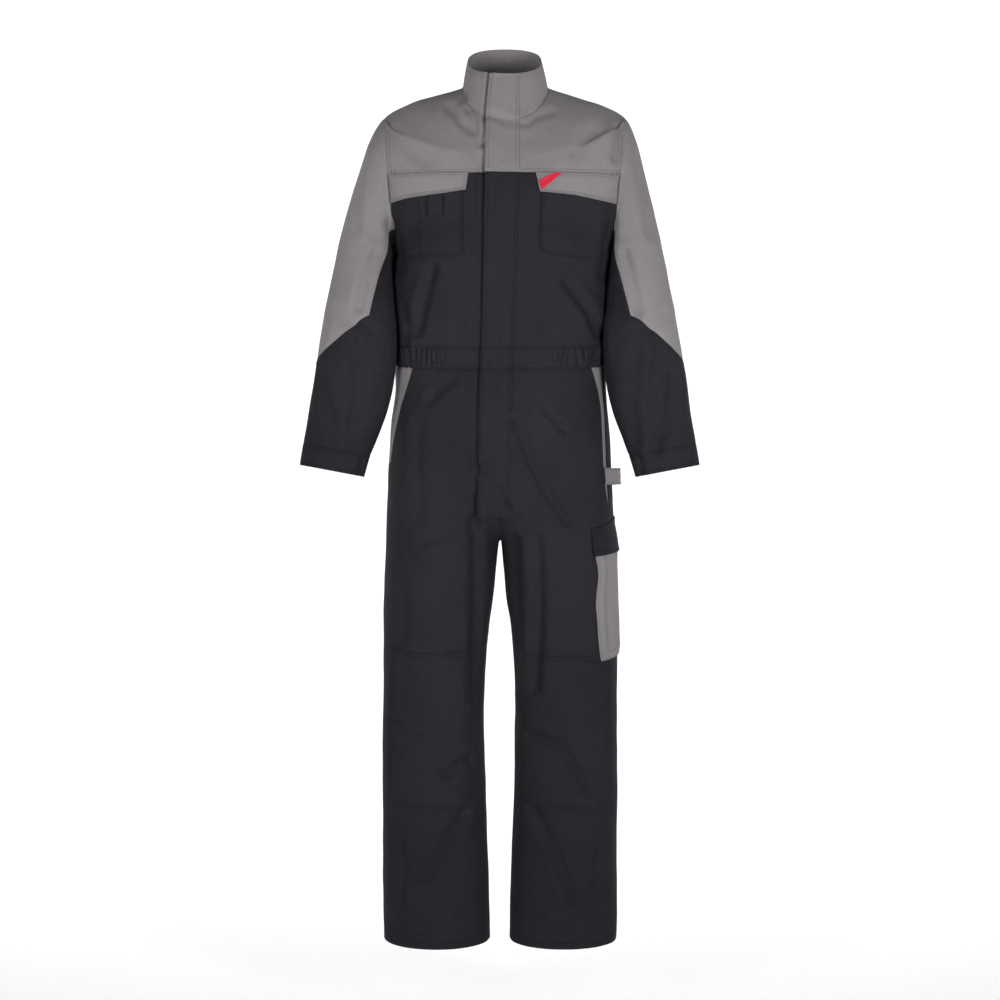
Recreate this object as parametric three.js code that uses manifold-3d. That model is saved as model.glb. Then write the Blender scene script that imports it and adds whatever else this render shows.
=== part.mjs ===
// Boiler suit, worn form with no wearer. Millimetres, +Z up, the front faces -Y,
// the wearer's left is +X. The origin is at the base of the neck, between the shoulders.
import * as THREE from 'three';
import { mergeVertices } from 'three/addons/utils/BufferGeometryUtils.js';
import Module from 'manifold-3d';

const wasm = await Module();
wasm.setup();

// Cloth and seams
const cloth = 1.8;          // wall of every main panel
const patchCloth = 1.6;     // wall of pockets, facings and knee patches
const seamGap = 0.3;        // between neighbours and between layers
const rimStep = 0.18;       // each panel's rim steps back this far from the seam line
const cornerStep = 10;      // and further, by this factor, where three panels meet
const frontColumns = 10;    // from the centre line to the side, in front and again behind
const sideY = 8;            // the side seam lies a little behind the middle
const bodyRound = 0.84;     // below 1 a ring is fuller than an oval
const legRound = 0.9;

// A table is written as rows of numbers under named columns.
function table(columns, rows) {
  const names = columns.split(' ');
  return rows.map((row) => Object.fromEntries(names.map((name, i) => [name, row[i]])));
}

// Shoulder line from the collar to the sleeve, with the centre front and centre back
// of the same ring. Turn is how far the ring has turned to the side at its edge.
const shoulderRows = table('edgeX edgeY edgeZ frontY frontZ backY backZ turn', [
  [82, 8, 20, -86, -52, 72, 44, 90],
  [130, 10, 9, -93, -68, 80, 25, 88],
  [180, 11, -6, -100, -84, 90, 2, 84],
]);

// Rings that end at the armhole, at an angle round it: 0 at the shoulder, 180 under the arm.
const armholeRows = table('angle frontY frontZ backY backZ turn', [
  [0, -107, -100, 99, -22, 76],
  [30, -113, -115, 107, -55, 62],
  [57, -119, -132, 114, -100, 52],
  [83, -125, -152, 121, -150, 47],
  [107, -132, -195, 127, -195, 47],
  [130, -136, -238, 130, -238, 52],
  [155, -137, -272, 131, -272, 68],
  [180, -137, -303, 131, -303, 90],
]);
const yokeRow = 6;          // the ring of the seam under the yoke
const greyEdge = 5;         // the ring of the armhole where the upper sleeve piece ends

// Rings below the arms, down to the foot of the waistband
const sideRows = table('edgeX edgeZ frontY frontZ backY backZ', [
  [202, -345, -135, -347, 129, -345],
  [201, -390, -131, -392, 124, -390],
  [200.5, -430, -126, -436, 119, -430],
  [200, -467, -121, -476, 115, -470],
  [199, -486, -120, -496, 114, -490],
  [200, -505, -121, -517, 116, -510],
]);
const bandRows = 2;         // the last rings are the waistband

// One leg: inner and outer side, front and back depth, drop of the ring at front and back
const riseTop = -705;       // the body starts to part into legs
const crotchZ = -848;
const hipRows = table('z inner outer front back drop', [
  [-550, 0, 200, 127, 126, 8],
  [-600, 0, 205, 131, 136, 4],
  [-655, 0, 209, 133, 142, 0],
  [riseTop, 0, 212, 133, 143, 0],
]);
const riseAngles = [24, 44, 62, 78, 90];
const riseFoot = -900;      // the last ring of the rise, at the side seam
const riseSpread = 0.4;     // share of the ring's width where it has come down to that
const crotchRow = { inner: 3, outer: 219, front: 114, back: 120 };
const legRows = table('z inner outer front back drop', [
  [-940, 12, 220, 103, 107, 0],
  [-985, 19, 221, 96, 98, 0],
  [-1039, 24, 222, 90, 91, 0],
  [-1100, 27.5, 221.5, 86, 85, 0],
  [-1160, 29.5, 222, 83, 80, 0],
  [-1220, 29.5, 223, 80, 76, 0],
  [-1280, 28, 223, 78, 73, 0],
  [-1336, 26, 223, 76, 71, 0],
  [-1400, 23.5, 223, 74, 70, 0],
  [-1465, 21.5, 223, 72, 69, 2],
  [-1530, 19.5, 222, 70, 68, 6],
  [-1590, 18.5, 221, 68, 67, 13],
]);

// Sleeve rings: the outer and inner side in the front view, middle and depth in Y
const sleeveRings = table('outerX outerZ innerX innerZ midY depth', [
  [228, -33, 204, -301, 10, 78],
  [249, -68, 206, -308, 7, 76],
  [266, -124, 207, -317, 2, 74],
  [282, -182, 206, -329, -5, 72],
  [297, -242, 204, -346, -14, 69],
  [311, -310, 201, -376, -25, 66],
  [324, -378, 198.5, -416, -37, 63],
  [336, -445, 197.5, -466, -45, 60],
  [347, -510, 199, -528, -49, 57],
  [357, -573, 214, -592, -48, 53],
  [365, -622, 229, -642, -45, 49],
  [370, -652, 242, -675, -43, 46],
  [374, -674, 249, -697, -42, 45],
  [377, -694, 255, -717, -41, 44],
]);
const seamRows = 7;                 // rows of the upper sleeve piece
const seamOuter = 7.9;              // ring where that piece ends, on the outer side
const seamCorner = 6.25;            // and at its front and back corners
const cornerAngle = 106;
const bulgeAngle = 131;             // its edge swings inwards before the corner
const lowerRows = [0.26, 0.52, 0.77, 1];
const cuffTop = 11;                 // ring of the cuff seam

// Collar: a stand band from the neck seam up to a rim that is higher at the back
const collarRim = { width: 71, front: -60, back: 76, frontZ: 41, slope: 0.5 };
const collarSwell = 4;
const collarSteps = 3;

// The upper front hangs a little towards the wearer's left, less at the sides of the waist
const sway = table('z shift', [[40, 10], [-60, 8], [-160, 7], [-300, 6], [-470, 4], [-600, 0]]);

// Large soft folds: a line in the front view, its half width and depth, on one face
// (-1 front, 1 back). A negative depth stands proud.
const folds = table('x0 z0 x1 z1 width depth face', [
  [-207, -58, -138, -128, 20, 5, -1],
  [176, -62, 148, -98, 18, 4, -1],
  [-125, -330, -152, -446, 26, 5, -1],
  [124, -356, 185, -452, 24, 5, -1],
  [-87, -538, -130, -576, 24, 4, -1],
  [33, -617, 124, -798, 24, 5, -1],
  [-48, -770, -50, -1130, 22, 6, -1],
  [30, -840, 68, -1110, 22, 5, -1],
  [-61, -1245, -104, -1272, 28, 5, -1],
  [58, -1199, 138, -1255, 26, 5, -1],
  [-68, -1350, -142, -1465, 28, 4, -1],
  [66, -1345, 135, -1510, 28, 4, -1],
  [-60, -60, -170, -190, 30, 4, 1],
  [70, -70, 180, -180, 30, 4, 1],
  [-150, -330, -80, -455, 32, 6, 1],
  [150, -320, 70, -460, 32, 6, 1],
  [-40, -700, -150, -880, 30, 6, 1],
  [40, -690, 150, -900, 30, 6, 1],
  [-60, -1180, -180, -1230, 30, 7, 1],
  [60, -1190, 180, -1225, 30, 7, 1],
  [-290, -450, -240, -560, 24, 5, -1],
  [318, -500, 285, -640, 24, 6, -1],
  [-350, -420, -260, -480, 26, 5, 1],
  [350, -430, 260, -480, 26, 5, 1],
]);

// Layers on the panels. Outlines are in the front view (x, z) or the side view (y, z).
const coverCloth = 2.4;
const zipCloth = 1.2;
const tapeCloth = 1;
const cargoCloth = 3;       // a bellows pocket, folded flat
const reach = 450;          // past the suit on every side
const coverUpper = [
  [-15, 40], [37, 40], [39, -52], [38, -152.4], [-24, -152.4], [-24, -60], [-20, -10],
];
const coverLower = [
  [38, -152.7], [34, -320], [29, -445], [24, -594], [18, -792], [-38.5, -791], [-36.5, -594],
  [-30.5, -445], [-24, -152.7],
];
const zipTape = [[-4, 36], [24, 36], [21, -150], [18, -470], [14, -600], [14, -770], [-14, -770],
  [-14, -600], [-10, -470], [-7, -150]];
const collarSplit = [[9.85, 90], [10.15, 90], [8.2, -60], [7.9, -60]];
const chestPockets = {
  left: [[77, -160], [203, -160], [191, -303], [175, -315], [86, -305], [73, -289]],
  right: [[-69, -160], [-69, -309], [-175, -311], [-185, -299], [-185, -160]],
};
const chestFlaps = {
  left: [[66, -152.7], [219, -150.5], [217, -205], [137, -193], [73, -189]],
  right: [[-58, -152.7], [-63, -185], [-98, -190], [-175, -197], [-203, -204], [-204, -150.5]],
};
const pocketStrap = [[-104, -197], [-104, -234], [-132, -234], [-132, -200]];
const chestTape = [[99, -153.5], [114, -153.5], [77, -186], [71, -169]];
const sleevePatch = [[-42, -390], [24, -388], [24, -413], [-42, -415]];
const kneePatches = {
  left: [[45, -1046], [72, -1052], [160, -1045], [162, -1067], [207, -1067], [209, -1333],
    [176, -1345], [84, -1339], [41, -1325]],
  right: [[-58, -1043], [-60, -1337], [-111, -1344], [-195, -1333], [-212, -1322],
    [-204, -1034], [-178, -1043], [-128, -1047]],
};
const pocketMouths = {
  left: [[167, -500], [184, -554], [191, -610], [195, -722], [197, -741], [208, -782],
    [240, -782], [240, -500]],
  right: [[-159, -500], [-178, -560], [-192, -610], [-202, -655], [-207, -690], [-240, -690],
    [-240, -500]],
};
const hipFacings = {
  left: [[145, -522], [165, -560], [172, -612], [178, -725], [200, -800], [240, -800],
    [240, -512], [150, -512]],
  right: [[-138, -522], [-158, -562], [-173, -612], [-185, -665], [-195, -710], [-240, -710],
    [-240, -512], [-143, -512]],
};
const cargoPocket = [[-80, -845], [-84, -960], [-78, -1045], [-66, -1063], [20, -1046],
  [80, -1033], [84, -832], [10, -838]];
const cargoFlap = [[-80, -815], [-35, -797], [20, -790], [86, -783], [86, -838], [10, -851],
  [-82, -866]];
const loopStrap = {
  top: -700, foot: -731, stand: 15, thick: 2, steps: 16,
  columns: [['front', 8], ['front', 9], ['front', 10], ['back', 9]],
};

// Materials
const grey = { color: 0x7a7778, roughness: 0.9 };
const dark = { color: 0x2b2c31, roughness: 0.88 };
const darker = { color: 0x222328, roughness: 0.88 };
const red = { color: 0xb01c2e, roughness: 0.6 };
const pale = { color: 0xc9c6c2, roughness: 0.6 };

const rad = THREE.MathUtils.degToRad;
const lerp = THREE.MathUtils.lerp;

// A value of a table between its rows, on a smooth curve through them
function between(rows, key, at) {
  const last = rows.length - 1;
  const i = Math.min(Math.floor(at), last - 1);
  const value = (k) => rows[Math.min(Math.max(k, 0), last)][key];
  const t = at - i;
  const before = (value(i + 1) - value(i - 1)) / 2;
  const after = (value(i + 2) - value(i)) / 2;
  const bend = 2 * value(i) - 2 * value(i + 1) + before + after;
  const swing = -3 * value(i) + 3 * value(i + 1) - 2 * before - after;
  return ((bend * t + swing) * t + before) * t + value(i);
}

// A value of a table that is read by height, straight between its rows
function byHeight(rows, key, z) {
  for (let i = 1; i < rows.length; i += 1) {
    const [above, below] = [rows[i - 1], rows[i]];
    if (z > above.z) return above[key];
    if (z > below.z) return lerp(above[key], below[key], (above.z - z) / (above.z - below.z));
  }
  return rows.at(-1)[key];
}

// The sheet: every corner of the cloth once, and its triangles with the panel they belong to
const points = [];
const faces = [];

function addPoint(x, y, z, swayShare = 1) {
  points.push(new THREE.Vector3(x + swayShare * byHeight(sway, 'shift', z), y, z));
  return points.length - 1;
}

// A quad between two rows, wound so that it faces outwards on both sides of the body
function addQuad(panel, a, b, c, d, side) {
  const corners = side > 0 ? [[a, b, c], [a, c, d]] : [[a, c, b], [a, d, c]];
  for (const face of corners) faces.push({ panel, face });
}

function sleevePoint(side, ring, angle) {
  const value = (key) => between(sleeveRings, key, ring);
  const across = (1 + Math.cos(rad(angle))) / 2;
  const x = lerp(value('innerX'), value('outerX'), across);
  const y = value('midY') - value('depth') * Math.sin(rad(angle));
  const z = lerp(value('innerZ'), value('outerZ'), across);
  return new THREE.Vector3(side * x, y, z);
}

// One quarter of a torso ring, from the centre line out to its edge
function torsoQuarter(side, edge, centre, turn, share) {
  const full = rad(turn);
  const angle = full * share;
  const round = turn > 60 ? bodyRound : 1;
  const across = (Math.sin(angle) / Math.sin(full)) ** round;
  const deep = ((Math.cos(angle) - Math.cos(full)) / (1 - Math.cos(full))) ** round;
  const rise = deep ** 1.35;
  const z = lerp(edge.z, centre.z, rise);
  return new THREE.Vector3(side * edge.x * across, lerp(edge.y, centre.y, deep), z);
}

// All torso rings as plain data: edges and centres in front and behind
function torsoRings() {
  const rings = shoulderRows.map((row) => {
    const edge = new THREE.Vector3(row.edgeX, row.edgeY, row.edgeZ);
    return { ...row, frontEdge: edge, backEdge: edge };
  });
  for (const row of armholeRows) {
    const frontEdge = sleevePoint(1, 0, row.angle);
    const backEdge = sleevePoint(1, 0, -row.angle);
    rings.push({ ...row, frontEdge, backEdge, open: row.angle > 0 && row.angle < 180 });
  }
  for (const row of sideRows) {
    const edge = new THREE.Vector3(row.edgeX, sideY, row.edgeZ);
    rings.push({ ...row, frontEdge: edge, backEdge: edge, turn: 90 });
  }
  return rings;
}

const rings = torsoRings();
const armTop = shoulderRows.length;
const armBottom = armTop + armholeRows.length - 1;
const bandTop = rings.length - 1 - bandRows;

// Torso points of both sides share those on the centre lines
const torso = { 1: { front: [], back: [] }, [-1]: { front: [], back: [] } };
for (const [r, ring] of rings.entries()) {
  const centres = { front: null, back: null };
  for (const side of [1, -1]) {
    for (const face of ['front', 'back']) {
      const centre = { y: ring[`${face}Y`], z: ring[`${face}Z`] };
      const row = [];
      for (let c = 0; c <= frontColumns; c += 1) {
        const shared = face === 'back' && c === frontColumns && !ring.open;
        const p = torsoQuarter(side, ring[`${face}Edge`], centre, ring.turn, c / frontColumns);
        const swayShare = r > armBottom ? 1 - (c / frontColumns) ** 2 : 1;
        if (c === 0 && centres[face] !== null) row.push(centres[face]);
        else if (shared) row.push(torso[side].front[r][c]);
        else row.push(addPoint(p.x, p.y, p.z, swayShare));
        if (c === 0) centres[face] = row[0];
      }
      torso[side][face].push(row);
    }
  }
}

const sideName = (side) => (side > 0 ? 'left' : 'right');

// The name of the torso panel that lies between two rings
function torsoPanel(r, face, side) {
  let part = 'body';
  if (r < yokeRow) part = 'yoke';
  if (r >= bandTop) part = 'waistband';
  return face === 'front' ? `${part}_front_${sideName(side)}` : `${part}_back`;
}

for (const side of [1, -1]) {
  for (let r = 0; r + 1 < rings.length; r += 1) {
    for (let c = 0; c < frontColumns; c += 1) {
      for (const face of ['front', 'back']) {
        const [upper, lower] = [torso[side][face][r], torso[side][face][r + 1]];
        const facing = face === 'front' ? side : -side;
        const panel = torsoPanel(r, face, side);
        addQuad(panel, upper[c], lower[c], lower[c + 1], upper[c + 1], facing);
      }
    }
  }
}

// Collar points rise from the neck seam
function collarPoint(side, face, c, share) {
  const base = points[torso[side][face][0][c]];
  const angle = rad(90 * c / frontColumns);
  const middle = (collarRim.front + collarRim.back) / 2;
  const reach = face === 'front' ? collarRim.front - middle : collarRim.back - middle;
  const top = new THREE.Vector3(
    side * collarRim.width * Math.sin(angle) + byHeight(sway, 'shift', 0),
    middle + reach * Math.cos(angle), 0);
  top.z = collarRim.frontZ + collarRim.slope * (top.y - collarRim.front);
  const p = base.clone().lerp(top, share);
  const swell = collarSwell * Math.sin(Math.PI * share);
  p.x += side * swell * Math.sin(angle);
  p.y += Math.sign(reach) * swell * Math.cos(angle) * 0.5;
  return p;
}

const collar = { 1: { front: [], back: [] }, [-1]: { front: [], back: [] } };
for (let step = 0; step <= collarSteps; step += 1) {
  const centres = { front: null, back: null };
  for (const side of [1, -1]) {
    for (const face of ['front', 'back']) {
      const row = [];
      for (let c = 0; c <= frontColumns; c += 1) {
        const p = collarPoint(side, face, c, step / collarSteps);
        if (step === 0) row.push(torso[side][face][0][c]);
        else if (c === 0 && centres[face] !== null) row.push(centres[face]);
        else if (c === frontColumns && face === 'back') row.push(collar[side].front[step][c]);
        else row.push(points.push(p) - 1);
        if (c === 0) centres[face] = row[0];
      }
      collar[side][face].push(row);
    }
  }
}
for (const side of [1, -1]) {
  for (let step = 0; step < collarSteps; step += 1) {
    for (let c = 0; c < frontColumns; c += 1) {
      for (const face of ['front', 'back']) {
        const [lower, upper] = [collar[side][face][step], collar[side][face][step + 1]];
        const facing = face === 'front' ? side : -side;
        addQuad('collar', upper[c], lower[c], lower[c + 1], upper[c + 1], facing);
      }
    }
  }
}

// Sleeves: columns run round the arm from the shoulder over the front to the underarm
// and on over the back. The rows end on the slanted seam, then on the cuff.
const armColumns = armholeRows.map((row) => row.angle);
const armCount = 2 * (armColumns.length - 1);

function edgeAngle(ring) {
  const start = armColumns[greyEdge];
  const half = seamCorner / 2;
  return ring < half
    ? lerp(start, bulgeAngle, ring / half)
    : lerp(bulgeAngle, cornerAngle, Math.min((ring - half) / half, 1));
}

// The ring and angle of a sleeve corner, by its row and by its column counted from the top
function sleevePlace(row, column) {
  const grown = Math.min(column / greyEdge, 1);
  const turned = cornerAngle * armColumns[Math.min(column, greyEdge)] / armColumns[greyEdge];
  const inwards = (1 - Math.cos(rad(turned))) / (1 - Math.cos(rad(cornerAngle)));
  const seamAt = lerp(seamOuter, seamCorner, inwards);
  let ring = 0;
  if (row <= seamRows) ring = seamAt * row / seamRows;
  else if (row <= seamRows + lowerRows.length) {
    ring = lerp(seamAt, cuffTop, lowerRows[row - seamRows - 1]);
  } else ring = cuffTop + row - seamRows - lowerRows.length;
  const edge = edgeAngle(Math.min(ring, seamCorner));
  const start = armColumns[greyEdge];
  const angle = grown < 1
    ? armColumns[column] * edge / start
    : lerp(edge, 180, (armColumns[column] - start) / (180 - start));
  return { ring, angle };
}

const sleeveRowCount = seamRows + lowerRows.length + (sleeveRings.length - 1 - cuffTop);
const sleeves = {};
for (const side of [1, -1]) {
  const grid = [];
  for (let row = 0; row <= sleeveRowCount; row += 1) {
    const line = [];
    for (let j = 0; j < armCount; j += 1) {
      const behind = j > armCount / 2;
      const column = behind ? armCount - j : j;
      if (row === 0) {
        const face = behind ? 'back' : 'front';
        line.push(torso[side][face][armTop + column][frontColumns]);
      } else {
        const place = sleevePlace(row, column);
        const p = sleevePoint(side, place.ring, behind ? -place.angle : place.angle);
        const share = Math.max(0, 1 - place.ring / 4);
        line.push(addPoint(p.x, p.y, p.z, share));
      }
    }
    grid.push(line);
  }
  sleeves[side] = grid;
  for (let row = 0; row < sleeveRowCount; row += 1) {
    for (let j = 0; j < armCount; j += 1) {
      const next = (j + 1) % armCount;
      const upperPiece = row < seamRows && (j < greyEdge || j >= armCount - greyEdge);
      let part = upperPiece ? 'sleeve_upper' : 'sleeve_lower';
      if (row >= seamRows + lowerRows.length) part = 'cuff';
      const panel = `${part}_${sideName(side)}`;
      addQuad(panel, grid[row][j], grid[row][next], grid[row + 1][next], grid[row + 1][j], side);
    }
  }
}

// Legs: rings that start as halves of the torso ring and close round each leg
function legRings() {
  const top = hipRows.at(-1);
  const rise = riseAngles.map((angle, i) => {
    const even = (i + 1) / riseAngles.length;
    return {
      z: lerp(riseTop, crotchZ, Math.sin(rad(angle))),
      sideZ: lerp(riseTop, riseFoot, even),
      inner: lerp(top.inner, crotchRow.inner, even),
      outer: lerp(top.outer, crotchRow.outer, even),
      front: lerp(top.front, crotchRow.front, even),
      back: lerp(top.back, crotchRow.back, even),
      drop: 0,
      parted: 1 - Math.cos(rad(angle)),
      sideParted: even,
    };
  });
  const plain = (row, parted) => ({ ...row, sideZ: row.z, parted, sideParted: parted });
  return [
    ...hipRows.map((row) => plain(row, 0)),
    ...rise,
    ...legRows.map((row) => plain(row, 1)),
  ];
}

function legPoint(side, ring, face, share) {
  const depth = ring[face] * (face === 'front' ? -1 : 1);
  const quarter = rad(90 * share);
  const half = rad(180 * share);
  const spread = THREE.MathUtils.smoothstep(share, 0, riseSpread);
  const parted = lerp(ring.parted, ring.sideParted, spread);
  const bodyX = ring.outer * Math.sin(quarter) ** bodyRound;
  const bodyY = sideY + (depth - sideY) * Math.cos(quarter) ** bodyRound;
  const legX = lerp(ring.inner, ring.outer, (1 - Math.cos(half)) / 2);
  const legY = sideY + (depth - sideY) * Math.sin(half) ** legRound;
  const deep = lerp(Math.cos(quarter), Math.sin(half), parted);
  const z = lerp(ring.z, ring.sideZ, spread) - ring.drop * deep;
  return new THREE.Vector3(side * lerp(bodyX, legX, parted), lerp(bodyY, legY, parted), z);
}

const legList = legRings();
const legs = {};
const partedFrom = hipRows.length + riseAngles.length - 1;
for (const [r, ring] of legList.entries()) {
  const centres = { front: null, back: null };
  for (const side of [1, -1]) {
    legs[side] ??= { front: [torso[side].front.at(-1)], back: [torso[side].back.at(-1)] };
    for (const face of ['front', 'back']) {
      const row = [];
      for (let c = 0; c <= frontColumns; c += 1) {
        const p = legPoint(side, ring, face, c / frontColumns);
        const onCentre = c === 0 && r < partedFrom && centres[face] !== null;
        const onInseam = c === 0 && r >= partedFrom && face === 'back';
        const onSide = c === frontColumns && face === 'back';
        if (onCentre) row.push(centres[face]);
        else if (onInseam) row.push(legs[side].front.at(-1)[0]);
        else if (onSide) row.push(legs[side].front.at(-1)[c]);
        else row.push(addPoint(p.x, p.y, p.z));
        if (c === 0) centres[face] = row[0];
      }
      legs[side][face].push(row);
    }
  }
}
for (const side of [1, -1]) {
  for (let r = 0; r + 1 < legs[side].front.length; r += 1) {
    for (let c = 0; c < frontColumns; c += 1) {
      for (const face of ['front', 'back']) {
        const [upper, lower] = [legs[side][face][r], legs[side][face][r + 1]];
        const facing = face === 'front' ? side : -side;
        const panel = `leg_${face}_${sideName(side)}`;
        addQuad(panel, upper[c], lower[c], lower[c + 1], upper[c + 1], facing);
      }
    }
  }
}

// The normal at each corner, from all the panels that meet there
function cornerNormals() {
  const normals = points.map(() => new THREE.Vector3());
  for (const { face } of faces) {
    const [a, b, c] = face.map((i) => points[i]);
    const across = b.clone().sub(a).cross(c.clone().sub(a));
    for (const i of face) normals[i].add(across);
  }
  return normals.map((n) => n.normalize());
}

// Distance from a point to a fold's line in the front view
function foldDistance(p, fold) {
  const [dx, dz] = [fold.x1 - fold.x0, fold.z1 - fold.z0];
  const along = ((p.x - fold.x0) * dx + (p.z - fold.z0) * dz) / (dx * dx + dz * dz);
  const t = THREE.MathUtils.clamp(along, 0, 1);
  return Math.hypot(p.x - fold.x0 - t * dx, p.z - fold.z0 - t * dz);
}

const flatNormals = cornerNormals();
for (const [i, p] of points.entries()) {
  const n = flatNormals[i];
  let push = 0;
  for (const fold of folds) {
    const facing = Math.max(0, n.y * fold.face);
    push -= fold.depth * facing * Math.exp(-((foldDistance(p, fold) / fold.width) ** 2));
  }
  p.addScaledVector(n, push);
}
const normals = cornerNormals();

// How many panels meet at each corner of the sheet
const panelsAt = points.map(() => new Set());
for (const { panel, face } of faces) {
  for (const i of face) panelsAt[i].add(panel);
}

// How far each rim corner of a panel steps inwards, so that neighbours stay apart
function rimSteps(triangles) {
  const seen = new Set(triangles.flatMap(([a, b, c]) => [`${a} ${b}`, `${b} ${c}`, `${c} ${a}`]));
  const inwards = new Map();
  const rim = [];
  for (const [a, b, c] of triangles) {
    for (const [from, to] of [[a, b], [b, c], [c, a]]) {
      if (seen.has(`${to} ${from}`)) continue;
      rim.push([from, to]);
      const along = points[to].clone().sub(points[from]);
      for (const i of [from, to]) {
        const step = normals[i].clone().cross(along).normalize();
        inwards.set(i, [...(inwards.get(i) ?? []), step]);
      }
    }
  }
  const steps = new Map();
  for (const [i, [first, second]] of inwards) {
    const miter = first.clone().add(second).divideScalar(Math.max(1 + first.dot(second), 0.25));
    const crowded = panelsAt[i].size > 2 ? cornerStep : 1;
    steps.set(i, miter.multiplyScalar(rimStep * crowded));
  }
  return { rim, steps };
}

// A wall between two distances from the sheet, closed round its rim, as a solid
function wall(triangles, outer, inner) {
  const { rim, steps } = rimSteps(triangles);
  const order = [...new Set(triangles.flat())];
  const index = new Map(order.map((i, k) => [i, k]));
  const count = order.length;
  const coords = [];
  for (const lift of [outer, inner]) {
    for (const i of order) {
      const p = points[i].clone().addScaledVector(normals[i], lift);
      if (steps.has(i)) p.add(steps.get(i));
      coords.push(p.x, p.y, p.z);
    }
  }
  const triVerts = [];
  for (const [a, b, c] of triangles) {
    const [i, j, k] = [index.get(a), index.get(b), index.get(c)];
    triVerts.push(i, j, k, i + count, k + count, j + count);
  }
  for (const [from, to] of rim) {
    const [i, j] = [index.get(from), index.get(to)];
    triVerts.push(j, i, i + count, j, i + count, j + count);
  }
  return new wasm.Manifold(new wasm.Mesh({
    numProp: 3,
    vertProperties: new Float32Array(coords),
    triVerts: new Uint32Array(triVerts),
  }));
}

// A three.js shape with its shared corners merged, as a solid
function toSolid(geometry) {
  geometry.deleteAttribute('normal');
  geometry.deleteAttribute('uv');
  const merged = mergeVertices(geometry, 1e-4);
  return new wasm.Manifold(new wasm.Mesh({
    numProp: 3,
    vertProperties: merged.attributes.position.array,
    triVerts: new Uint32Array(merged.index.array),
  }));
}

// An outline in the front view ('front') or the side view ('side') as a block through the suit
function block(view, outline, near, far) {
  const shape = new THREE.Shape(outline.map(([u, z]) => new THREE.Vector2(u, z)));
  const solid = new THREE.ExtrudeGeometry(shape, { depth: far - near, bevelEnabled: false });
  solid.rotateX(Math.PI / 2);
  solid.translate(0, far, 0);
  if (view === 'side') solid.rotateZ(Math.PI / 2);
  return toSolid(solid);
}

const inPanels = (...names) => faces.filter((f) => names.includes(f.panel)).map((f) => f.face);

// The triangles of some panels that reach into a box
function near(names, low, high) {
  return inPanels(...names).filter((face) => ['x', 'y', 'z'].every((axis) => {
    const values = face.map((i) => points[i][axis]);
    return Math.max(...values) >= low[axis] && Math.min(...values) <= high[axis];
  }));
}

// Everything on the outer side of the left leg and sleeve
const outerLeft = block('front', [[130, 100], [reach, 100], [reach, -1700], [130, -1700]],
  -reach, reach);

const suit = new THREE.Group();

function add(name, solid, finish) {
  const mesh = solid.getMesh();
  const geometry = new THREE.BufferGeometry();
  geometry.setAttribute('position', new THREE.BufferAttribute(mesh.vertProperties, 3));
  geometry.setIndex(new THREE.BufferAttribute(mesh.triVerts, 1));
  geometry.computeVertexNormals();
  const material = new THREE.MeshStandardMaterial({ ...finish, metalness: 0 });
  const piece = new THREE.Mesh(geometry, material);
  piece.name = name;
  suit.add(piece);
}

// A layer of cloth on the panels: from their own points, moved out and cut to an outline
function layer({ view, outline, panels, lift, thick }) {
  const us = outline.map(([u]) => u);
  const zs = outline.map(([, z]) => z);
  const low = { x: -reach, y: -reach, z: Math.min(...zs) - 1 };
  const high = { x: reach, y: reach, z: Math.max(...zs) + 1 };
  const axis = view === 'front' ? 'x' : 'y';
  low[axis] = Math.min(...us) - 1;
  high[axis] = Math.max(...us) + 1;
  const shell = wall(near(panels, low, high), lift + thick, lift);
  return shell.intersect(block(view, outline, -reach, reach));
}

// Main panels. The front legs have a slanted pocket mouth over the grey facing, and the
// collar is open at the front, where its ends meet behind the fly cover.
const sheetPanels = [...new Set(faces.map((f) => f.panel))];
for (const panel of sheetPanels) {
  const isGrey = /yoke|collar|sleeve_upper/.test(panel);
  let solid = wall(inPanels(panel), 0, -cloth);
  for (const side of ['left', 'right']) {
    if (panel === `leg_front_${side}`) {
      solid = solid.subtract(block('front', pocketMouths[side], -reach, sideY + 2));
    }
  }
  if (panel === 'collar') solid = solid.subtract(block('front', collarSplit, -reach, 0));
  add(panel, solid, isGrey ? grey : dark);
}

const fronts = (side) => ['yoke', 'body', 'waistband', 'leg'].map((p) => `${p}_front_${side}`);
const coverPanels = ['collar', ...fronts('left'), ...fronts('right')];
const overPocket = patchCloth + 2 * seamGap;
const under = -cloth - seamGap;

add('fly_cover_upper', layer({
  view: 'front', outline: coverUpper, panels: coverPanels, lift: seamGap, thick: coverCloth,
}), grey);
add('fly_cover_lower', layer({
  view: 'front', outline: coverLower, panels: coverPanels, lift: seamGap, thick: coverCloth,
}), dark);
add('zip_tape', layer({
  view: 'front', outline: zipTape, panels: coverPanels, lift: under - zipCloth, thick: zipCloth,
}), darker);

for (const side of ['left', 'right']) {
  const body = [`body_front_${side}`];
  const leg = [`leg_front_${side}`];
  add(`chest_pocket_${side}`, layer({
    view: 'front', outline: chestPockets[side], panels: body, lift: seamGap, thick: patchCloth,
  }), dark);
  add(`chest_flap_${side}`, layer({
    view: 'front', outline: chestFlaps[side], panels: body, lift: overPocket, thick: cloth,
  }), grey);
  add(`knee_patch_${side}`, layer({
    view: 'front', outline: kneePatches[side], panels: leg, lift: seamGap, thick: patchCloth,
  }), dark);
  add(`hip_facing_${side}`, layer({
    view: 'front', outline: hipFacings[side], panels: leg, lift: under - patchCloth,
    thick: patchCloth,
  }), grey);
}
add('pocket_strap', layer({
  view: 'front', outline: pocketStrap, panels: ['body_front_right'], lift: overPocket,
  thick: patchCloth,
}), darker);
add('chest_tape', layer({
  view: 'front', outline: chestTape, panels: ['body_front_left'],
  lift: overPocket + cloth + seamGap, thick: tapeCloth,
}), red);
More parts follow.
